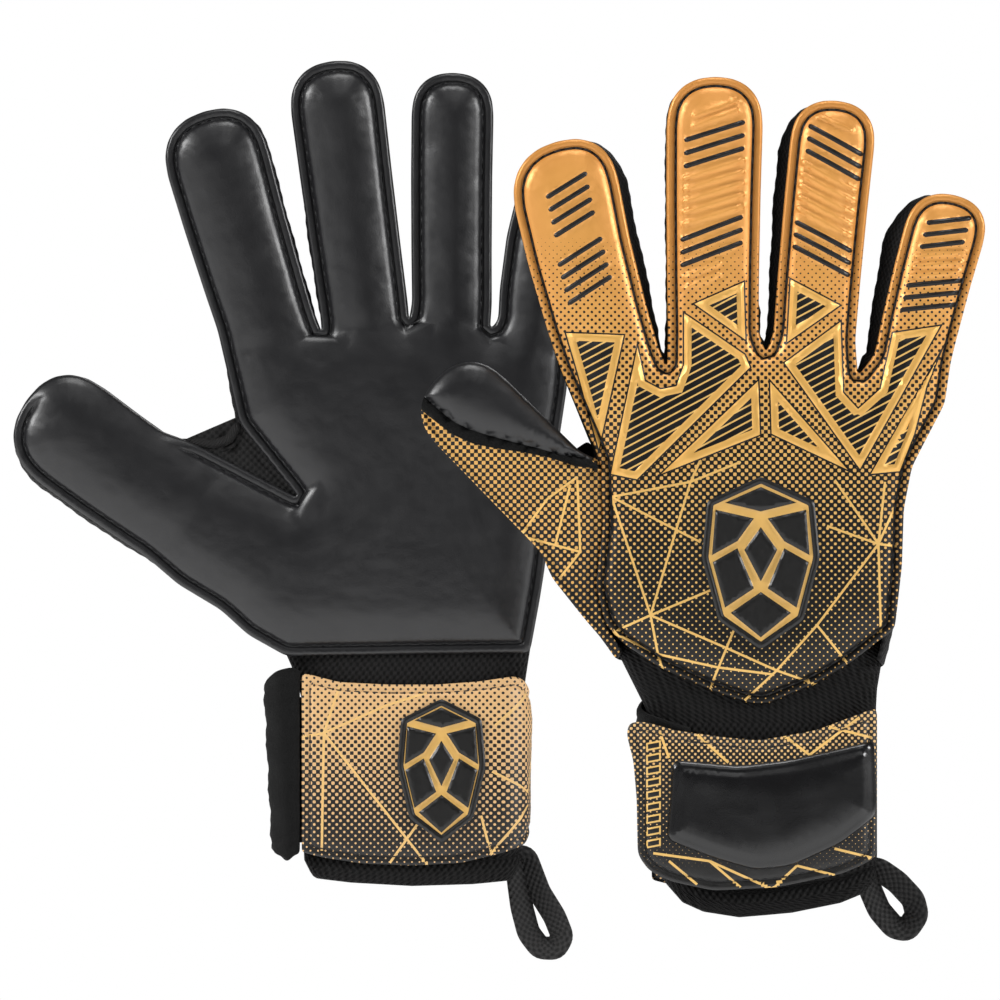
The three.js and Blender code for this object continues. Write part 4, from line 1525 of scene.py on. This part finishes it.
@dataclass
class SideWalls(SubAssembly):
    """The black mesh walls between palm and back, one for each digit and each side of the hand."""

    thick: float = 1.1
    reach: float = 10.5
    levels: int = 11
    inset: float = 2.2
    plain_bulge: float = 1.9
    ease: int = 9

    def path(self) -> tuple[np.ndarray, np.ndarray]:
        """The way round the hand's edge that the walls follow, and its outward normals."""
        shape = self.hand.shape
        outline = smooth_outline([*shape.heel, *self.hand.digits["thumb"].edge(6.0, 24.0), *shape.web_edge,
                                  *self.hand.finger_outline(), *shape.little_side], 1.2)[::-1]
        start = int(np.argmin(((outline - np.array(shape.heel[0])) ** 2).sum(1)))
        outline = np.roll(outline, -start, axis=0)
        stop = int(np.argmin(((outline - np.array(shape.little_side[-1])) ** 2).sum(1)))
        return outline[: stop + 1], -edge_normals(outline)[: stop + 1]

    def bulge(self, path: np.ndarray, normal: np.ndarray) -> np.ndarray:
        """How far the wall swells outwards at each point of its path, clear of its neighbours."""
        run = run_along(path)
        bulge = np.full(len(path), self.plain_bulge)
        for name, side, size in WALL_BULGES[self.hand.side]:
            digit = self.hand.digits[name]
            a, s = digit.local(path)
            on = (np.sign(a) == side) & (np.abs(a) < digit.tip_half * 1.35) & (s > 4) & (s < digit.length - 8)
            bulge[on] = size
        window = 2 * self.ease + 1
        bulge = np.convolve(np.pad(bulge, self.ease, mode="edge"), np.ones(window) / window, "valid")
        for k, (point, out) in enumerate(zip(path, normal)):
            gap = path[np.abs(run - run[k]) > 14] - point
            ahead = gap @ out > 0.3 * np.hypot(*gap.T)
            if ahead.any():
                clear = np.hypot(*gap[ahead].T).min() / 2
                bulge[k] = min(bulge[k], max(clear - 0.4, 0.0) + self.inset)
        return bulge

    def build(self) -> None:
        """Builds the walls, a new one wherever the path passes from hand to digit or back."""
        path, normal = self.path()
        bulge, run = self.bulge(path, normal), run_along(path)
        levels = np.linspace(-1, 1, self.levels)
        depth = levels * self.reach
        digits = (*FINGERS, "thumb")
        where = self.hand.region(path, digits)
        breaks = [0, *(k for k in range(1, len(path)) if where[k] != where[k - 1]), len(path) - 1]
        count: dict = {}
        for first, last in zip(breaks, breaks[1:]):
            if last - first < 2:
                continue
            k = where[(first + last) // 2]
            part = "hand" if k < 0 else digits[k]
            count[part] = count.get(part, 0) + 1
            rings, flats = [], []
            for i in range(first, last + 1):
                swell = bulge[i] * (1 - np.abs(levels) ** 2.6) - self.inset
                swell += 0.10 * math.sin(run[i] * 1.3) * (1 - levels**2) + 0.12 * math.sin(run[i] * 0.31 + 2)
                outer = path[i] + normal[i] * swell[:, None]
                inner = path[i] + normal[i] * (swell[:, None] - self.thick)
                rings.append(np.vstack([self.hand.place(outer[:, 0], depth, outer[:, 1]),
                                        self.hand.place(inner[::-1, 0], depth[::-1], inner[::-1, 1])]))
                flat = np.column_stack([np.full(len(levels), run[i]), depth + swell, swell * 0])
                flats.append(np.vstack([flat, flat[::-1] + [0, 0, 5.0]]))
            obj = tube(f"{self.name}_{part}_wall_{count[part]}", rings, flats)
            if part == "hand":
                stands_for = [HAND_WALLS[min(count[part], len(HAND_WALLS)) - 1]]
            else:
                stands_for = [f"{part}_gusset"] if count[part] == 1 else []
            self.dress(obj, Cloth.MESH, part, stands_for)


@dataclass
class Web(SubAssembly):
    """The mesh web in the notch between thumb and palm, with its bound edge."""

    overlap: float = 2.4
    floor: float = 8.0
    depth: float = 9.6
    binding_depth: float = 9.8
    binding_radius: float = 1.7
    binding_sides: int = 12

    def build(self) -> None:
        """Builds the web and its binding."""
        notch = np.array(self.hand.shape.web_notch)
        middle = notch.mean(0)
        panel = PanelMesh(smooth_outline(notch + unit(notch - middle) * self.overlap, 0.8), (0.6, 2.0), 1.8)
        x, z = panel.points.T
        height = 1.0 - 1.2 * step_up(panel.edge, 1, 7)
        height += 0.5 * np.sin(x * 0.8 + z * 0.5) * step_up(panel.edge, 1, 4)
        obj = panel.body(f"{self.name}_web_mesh", self.hand.lift(Face.PALM), self.depth + height, self.floor)
        self.dress(obj, Cloth.MESH)
        self.bind(evenly([notch[0], *self.hand.shape.web_edge[1:3], notch[2]], 1.5, False))

    def bind(self, path: np.ndarray) -> None:
        """Builds the bound edge, a soft roll along a path in the glove's face."""
        along = unit(np.gradient(path, axis=0))
        angles = np.linspace(0, 2 * math.pi, self.binding_sides, endpoint=False)
        rings, flats = [], []
        for k, (point, way) in enumerate(zip(path, along)):
            size = self.binding_radius * (0.6 if k in (0, len(path) - 1) else 1)
            spots = point + np.outer(np.cos(angles) * size, (-way[1], way[0]))
            rings.append(self.hand.place(spots[:, 0], self.binding_depth + np.sin(angles) * size, spots[:, 1]))
            flats.append(np.full((len(angles), 3), k * 1.5) + np.arange(len(angles))[:, None])
        self.dress(tube(f"{self.name}_web_binding", rings, flats), Cloth.MESH)


@dataclass
class Cuff(SubAssembly):
    """The knitted elastic cuff: a soft tube with a turned hem."""

    heights: tuple = (0.0, 0.6, 1.6, 4.0, 7.0, 8.0, 9.0, 14.0, 30.0, 50.0, 60.0, 66.0, 71.0, 76.0, 81.0, 85.0)
    insets: tuple = (0.9, 0.25, 0.0, 0.0, 0.0, 0.75)  # of the lowest levels: hem, turn and hem stitch
    thick: float = 2.2
    half_depth: float = 10.3
    rib: float = 0.22
    around: int = 144

    def ring(self, z: float, inset: float) -> tuple[np.ndarray, np.ndarray]:
        """One level of the tube.

        Args:
            z: its height.
            inset: how far inside the outer face it lies.
        Returns:
            The ring in metres, and its print coordinates.
        """
        low, high = (float(np.interp(z, *run)) for run in CUFF_SIDES[self.hand.side])
        angles = np.linspace(0, 2 * math.pi, self.around, endpoint=False)
        c, s = np.cos(angles), np.sin(angles)
        x = (high + low) / 2 + ((high - low) / 2 - inset) * np.sign(c) * np.abs(c) ** 0.42
        depth = (self.half_depth - inset) * np.sign(s) * np.abs(s) ** 0.55
        if inset < 1:
            depth = depth + np.sign(s) * self.rib * np.sin(np.arange(len(angles)) * math.pi / 2)
        sag = np.interp(x, *CUFF_BOTTOM[self.hand.side]) * step_up(-z, -40, 0)
        girth = run_along(np.column_stack([x, depth]))
        return self.hand.place(x, depth, z + sag), np.column_stack([girth, np.full(len(x), z), x * 0])

    def build(self) -> None:
        """Builds the tube, up its outer face and down its inner one."""
        insets = self.insets + (0.0,) * (len(self.heights) - len(self.insets))
        rows = [self.ring(z, inset) for z, inset in zip(self.heights, insets)]
        rows += [self.ring(z, self.thick) for z in self.heights[::-1]]
        obj = tube(f"{self.name}_cuff", [r for r, _ in rows], [f for _, f in rows], closed=True)
        self.dress(obj, Cloth.KNIT, stands_for=["wrist_cuff"])


@dataclass
class WristPart(SubAssembly):
    """A flat part laid round the wrist."""

    stitch_in: float = 2.8
    stitch_pitch: float = 3.0
    stitch_size: tuple = (2.2, 0.5)

    def wrap(self, corners: Sequence, flip: int) -> Callable:
        """A lift that lays a flat panel along a bent section of the wrist.

        Args:
            corners: the section's (x, depth) points from its start, where the flat x is corners[0][0].
            flip: 1 if the flat x grows along the section as given, else -1.
        Returns:
            The lift for PanelMesh.body, with depths measured out from the section.
        """
        path = softened(evenly(corners, 0.5, False), 1.6, 0.5, closed=False)
        run = run_along(path)
        way = unit(np.gradient(path, axis=0))
        out = np.column_stack([-way[:, 1], way[:, 0]]) * flip

        def lift(points: np.ndarray, depth: np.ndarray) -> np.ndarray:
            """Lays the points along the section."""
            at = (points[:, 0] - corners[0][0]) * flip
            x, y = (np.interp(at, run, path[:, k]) for k in range(2))
            nx, ny = (np.interp(at, run, out[:, k]) for k in range(2))
            return self.hand.place(x + nx * depth, y + ny * depth, points[:, 1])

        return lift

    def sew(self, word: str, panel: PanelMesh, height: np.ndarray, lift: Callable, body: str = "hand") -> None:
        """Sews stitches in from a panel's edge.

        Args:
            word: the word in the piece's name.
            panel: the flat panel.
            height: its outer face's height.
            lift: how the panel is laid.
            body: what the stitches ride on.
        """
        line = panel.outline - edge_normals(panel.outline) * self.stitch_in
        line = evenly(line[away(line, panel.outline) > self.stitch_in * 0.97], self.stitch_pitch)
        near = [int(np.argmin(((panel.points - p) ** 2).sum(1))) for p in line]
        level = height[near] + 0.15
        here = lift(line, level)
        way = unit(lift(line + (np.roll(line, -1, axis=0) - line) * 0.1, level) - here)
        out = unit(lift(line, level + 1) - here)
        self.dress(stitch_run(f"{self.name}_{word}_stitches", here, way, out, *self.stitch_size),
                   Cloth.THREAD, body)


@dataclass
class Strap(WristPart):
    """The printed strap's palm part, which turns round the little finger side to the back."""

    quilt: Quilting = Quilting(base=0.1, thick=1.5, groove_at=2.7, groove_deep=0.75, crown=0.75, reach=9.0)
    rings: tuple = (0.4, 1.0, 2.0, 2.7, 3.3, 4.2)
    span: tuple = (-36.3, 78.0)
    fill: float = 0.7

    def build(self) -> None:
        """Builds the strap and its stitches."""
        end = 37.4 if self.left else 32.8
        lift = self.wrap([(-36.5, 11.2), (end - 7.0, 11.2), (end - 1.9, 8.5), (end, 0.0), (end - 1.9, -8.5),
                          (end - 6.4, -11.2), (12.0, -11.3)], 1)
        xs = np.linspace(*self.span, 50)
        low, top = (np.column_stack([xs, np.interp(xs, *run)]) for run in STRAP_EDGES)
        outline = softened(evenly(np.vstack([low, top[::-1]]), 1.0), 0.9, 1.0)
        pattern = Pattern()
        pattern.add_lines(STRAP_LINES, width=0.8)
        panel = PanelMesh(outline, self.rings, 2.4, pattern=pattern)
        x, z = panel.points.T
        height = self.quilt.height(panel.edge)
        height += 0.30 * np.sin(x * 0.16 + 0.6) * np.sin(z * 0.12 + 1) * step_up(panel.edge, 3, 10)
        obj = panel.body(f"{self.name}_strap", lift, height + self.quilt.base, self.quilt.base)
        self.dress(obj, Cloth.STRAP, "hand", ["strap_palm_part"], self.fill)
        self.sew("strap", panel, height, lift)


@dataclass
class ClosureTab(WristPart):
    """The fuzzy closure tab, folded round the thumb side to the back."""

    thick: float = 1.0
    narrowing: float = 3.0

    def build(self) -> None:
        """Builds the tab, its nose drawn in towards the bottom."""
        nose = -47.6 if self.left else -40.0
        wrap = self.wrap([(-36.9, 11.3), (nose + 8.0, 11.4), (nose + 4.0, 10.0), (nose + 0.5, 4.0),
                          (nose, -2.0), (nose + 3.0, -9.0), (nose + 10.0, -11.5), (-24.0, -11.6)], -1)

        def lift(points: np.ndarray, depth: np.ndarray) -> np.ndarray:
            """Lays the tab round the wrist."""
            spots = wrap(points, depth)
            far = step_up(-(spots[:, 0] - self.hand.origin[0]) / MM, 37, 46)
            spots[:, 0] += self.narrowing * MM * far * (1 - np.clip(points[:, 1] / 62, 0, 1))
            return spots

        rise = 0.0 if self.left else 8.0
        outline = [(x, z + rise) for x, z in TAB_BOTTOM] + list(TAB_TOP)
        panel = PanelMesh(smooth_outline(outline, 1.2), (0.4, 1.0, 2.0, 3.0), 1.9)
        x, z = panel.points.T
        height = 0.5 + self.thick * rounded(panel.edge / 1.6)
        height += 0.25 * np.sin(z * 0.42 + x * 0.2) + 0.18 * np.sin(z * 1.3 - x * 0.7)
        height -= 0.5 * bell(panel.edge, 2.6, 0.6)
        self.dress(panel.body(f"{self.name}_tab_pile", lift, height, 0.0), Cloth.PILE,
                   stands_for=["closure_tab"])


@dataclass
class Flap(WristPart):
    """The strap's back flap, with its hook patch and glossy pad."""

    quilt: Quilting = Quilting(base=13.9, thick=1.5, groove_at=2.7, groove_deep=0.75, crown=0.7, reach=9.0)
    rings: tuple = (0.4, 1.0, 2.0, 2.7, 3.3, 4.2)
    turn_in: float = 2.4
    blocks: int = 9
    block_pitch: float = 3.9
    block: tuple = (-38.3, -33.6, 20.0, 2.6)  # left, right, lowest, how tall
    hook_depths: tuple = (13.85, 13.2)
    pad_base: float = 15.5
    pad_crown: float = 2.6

    def pattern(self) -> Pattern:
        """Gold lines and a column of plain outlined blocks."""
        pattern = Pattern()
        pattern.add_lines(FLAP_LINES, width=0.8)
        x0, x1, lowest, tall = self.block
        for k in range(self.blocks):
            z = lowest + self.block_pitch * k
            box = np.array([(x0, z), (x1, z + 0.9), (x1, z + 0.9 + tall), (x0, z + tall)])
            pattern.fills.append((box, Zone.GOLD, 0.25))
            pattern.fills.append((shrunk(box, 0.55), Zone.BLACK, 0.15))
        return pattern

    def build(self) -> None:
        """Builds the flap, its stitches, the hook patch and the pad."""
        body = f"{self.name}_strap_flap"
        lift = self.hand.lift(Face.BACK, lambda p: self.turn_in * step_up(p[:, 0], 30.0, 37.5))
        panel = PanelMesh(smooth_outline(FLAP_OUTLINE, 1.5), self.rings, 2.2, pattern=self.pattern())
        x, z = panel.points.T
        height = self.quilt.base + self.quilt.height(panel.edge) + panel.relief()
        height += 0.25 * np.sin(x * 0.14 + 0.6) * np.sin(z * 0.13 + 1) * step_up(panel.edge, 3, 10)
        self.dress(panel.body(f"{self.name}_flap", lift, height, self.quilt.base), Cloth.FLAP, body,
                   ["strap_flap"], 0.7)
        self.sew("flap", panel, height, lift, body)
        self.build_hooks(body)
        self.build_pad(body, lift)

    def build_hooks(self, body: str) -> None:
        """Builds the hook patch on the flap's inside."""
        outline = smooth_outline([(-37, 14.5), (-13, 11.5), (-13, 52), (-37, 54)], 1.5)
        patch = PanelMesh(outline, (0.5, 1.5), 1.5)
        rough = 0.5 + 0.2 * np.sin(patch.points[:, 0] * 4.1) * np.sin(patch.points[:, 1] * 4.1)
        outer, inner = self.hook_depths
        obj = patch.body(f"{self.name}_hooks", self.hand.lift(Face.BACK), np.full(len(rough), outer),
                         inner - rough * 0.2)
        self.dress(obj, Cloth.HOOK, body, ["hook_patch"])

    def build_pad(self, body: str, lift: Callable) -> None:
        """Builds the crowned glossy pad."""
        pad = PanelMesh(smooth_outline(PAD_OUTLINE, 1.8), (0.4, 1.0, 1.8, 2.6, 3.6, 5.0, 7.0), 2.2)
        height = 0.5 + self.pad_crown * rounded(pad.edge / 9.0) - 0.35 * bell(pad.edge, 2.4, 0.6)
        height += 0.35 * np.sin(pad.points[:, 0] * 0.10 + 0.4) * step_up(pad.edge, 3, 10)
        obj = pad.body(f"{self.name}_gloss_pad", lift, self.pad_base + 0.1 + height, self.pad_base)
        self.dress(obj, Cloth.PAD, body, ["strap_pad"], 0.8)


@dataclass
class Badge(SubAssembly):
    """A moulded badge of plain cells inside a long octagon."""

    node: str
    middle: tuple
    half: tuple
    face: Face
    base: float
    rim: float = 2.08
    cell_rise: float = 0.9
    fill: float = 0.9

    def build(self) -> None:
        """Builds the badge."""
        pattern = Pattern(fills=[(anticlockwise(np.array(cell) * self.half + self.middle), Zone.BLACK,
                                  self.cell_rise) for cell in BADGE_CELLS])
        outline = softened(evenly(np.array(BADGE_OUTLINE) * self.half + self.middle, 0.8), 0.8, 0.8)
        panel = PanelMesh(outline, (0.35, 0.9, 1.5, 2.1), 1.2, pattern=pattern)
        panel.zones[panel.zones == Zone.GROUND.value] = Zone.GOLD.value
        panel.zones[away(panel.middles, outline) < self.rim] = Zone.BLACK.value
        height = 0.5 + 0.75 * bell(panel.edge, 1.0, 0.7) + panel.relief()
        obj = panel.body(f"{self.name}_{self.node}_molding", self.hand.lift(self.face), self.base + height,
                         self.base - 0.6)
        self.dress(obj, Cloth.BADGE, "hand", [self.node], self.fill)


@dataclass
class PullLoop(SubAssembly):
    """The webbing pull loop: a folded band that hangs as a drop."""

    half_width: float = 4.5
    half_thick: float = 0.8
    tilt: float = 57.0
    section: tuple = ((-1, 0), (-0.92, 0.75), (-0.5, 0.95), (0, 1), (0.5, 0.95), (0.92, 0.75), (1, 0),
                      (0.92, -0.75), (0.5, -0.95), (0, -1), (-0.5, -0.95), (-0.92, -0.75))

    def build(self) -> None:
        """Builds the loop as a band that leans across its own plane."""
        line = anticlockwise(softened(evenly(LOOP_LINES[self.hand.side], 0.7), 1.0, 0.7))
        run = run_along(line)
        across, up = np.array(self.section).T * [[self.half_width], [self.half_thick]]
        t = math.radians(self.tilt)
        reach = up * math.cos(t) + across * math.sin(t)
        depth = (across * math.cos(t) - up * math.sin(t)) * (1 if self.left else -1)
        rings, flats = [], []
        for k, (point, out) in enumerate(zip(line, edge_normals(line))):
            spots = point + np.outer(reach, out)
            rings.append(self.hand.place(spots[:, 0], depth, spots[:, 1]))
            flats.append(np.column_stack([across, np.full(len(up), run[k]), up / self.half_thick]))
        obj = tube(f"{self.name}_loop", rings, flats, closed=True)
        self.dress(obj, Cloth.WEBBING, f"{self.name}_pull_loop", ["pull_loop"])


def build_glove(side: Side, wardrobe: Wardrobe) -> None:
    """Builds every sub-assembly of one glove, in order."""
    hand = Hand(side)
    for part in (Palm, Backhand, ThumbBack, SideWalls, Web, Cuff, Strap, ClosureTab, Flap):
        part(hand, wardrobe).build()
    Badge(hand, wardrobe, "backhand_badge", (-1.6, 111.7), (22.0, 28.0), Face.BACK, 16.1).build()
    Badge(hand, wardrobe, "strap_badge", (9.7, 36.5), (17.0, 24.0), Face.PALM, 13.7).build()
    PullLoop(hand, wardrobe).build()


# ---------------------------------------------------------------- studio


@dataclass(frozen=True)
class Studio:
    """Floor, surroundings, lights and camera."""

    eye: tuple = (0.0290, -5.9, 0.1254)
    lens: float = 643.6
    floor_at: float = -0.36
    soft_light: float = 0.10

    def light(self, name: str, at: tuple, to: tuple, power: float, size: float) -> None:
        """A soft square light."""
        lamp = bpy.data.lights.new(name, "AREA")
        lamp.energy, lamp.size = power, size
        obj = bpy.data.objects.new(name, lamp)
        obj.location = at
        obj.rotation_euler = (Vector(to) - Vector(at)).to_track_quat("-Z", "Y").to_euler()
        bpy.context.collection.objects.link(obj)

    def build(self) -> None:
        """Builds the studio."""
        scene = bpy.context.scene
        scene.view_settings.view_transform = "Standard"
        mesh = bpy.data.meshes.new("floor")
        reach = 8.0
        corners = [(-reach, -reach), (reach, -reach), (reach, reach), (-reach, reach)]
        mesh.from_pydata([(x, y, self.floor_at) for x, y in corners], [], [(0, 1, 2, 3)])
        ground = bpy.data.objects.new("floor", mesh)
        bpy.context.collection.objects.link(ground)
        paper = bpy.data.materials.new("paper")
        paper.use_nodes = True
        shader = next(n for n in paper.node_tree.nodes if n.type == "BSDF_PRINCIPLED")
        shader.inputs["Base Color"].default_value = (0.9, 0.9, 0.9, 1)
        shader.inputs["Roughness"].default_value = 0.9
        shader.inputs["Emission Color"].default_value = (1, 1, 1, 1)
        shader.inputs["Emission Strength"].default_value = 0.45
        mesh.materials.append(paper)
        world = bpy.data.worlds.new("studio")
        world.use_nodes = True
        tree = world.node_tree
        soft = tree.nodes["Background"]
        soft.inputs["Color"].default_value = (1, 1, 1, 1)
        soft.inputs["Strength"].default_value = self.soft_light
        white = tree.nodes.new("ShaderNodeBackground")
        white.inputs["Color"].default_value = (1, 1, 1, 1)
        path, mix = tree.nodes.new("ShaderNodeLightPath"), tree.nodes.new("ShaderNodeMixShader")
        tree.links.new(path.outputs["Is Camera Ray"], mix.inputs[0])
        tree.links.new(soft.outputs[0], mix.inputs[1])
        tree.links.new(white.outputs[0], mix.inputs[2])
        tree.links.new(mix.outputs[0], tree.nodes["World Output"].inputs["Surface"])
        scene.world = world
        middle = (0.03, -0.05, 0.14)
        self.light("key", (-1.9, -0.9, 1.1), middle, 42, 0.7)
        self.light("fill", (1.9, -0.8, 0.7), middle, 26, 0.6)
        self.light("front", (0.4, -2.4, 2.2), middle, 5, 1.0)
        self.light("top", (0.1, -0.5, 1.9), middle, 13, 0.7)
        self.light("rear", (0.6, 2.0, 1.2), middle, 8, 0.9)
        camera = bpy.data.cameras.new("camera")
        camera.lens, camera.sensor_width, camera.clip_end = self.lens, 36, 50
        obj = bpy.data.objects.new("camera", camera)
        obj.location = self.eye
        obj.rotation_euler = (math.radians(90), 0, 0)
        bpy.context.collection.objects.link(obj)
        scene.camera = obj


def main() -> None:
    """Builds the pair and its studio."""
    logging.basicConfig(level=logging.INFO, format="%(name)s %(message)s")
    wardrobe = Wardrobe()
    for side in Side:
        build_glove(side, wardrobe)
    Studio().build()


if __name__ == "__main__":
    main()
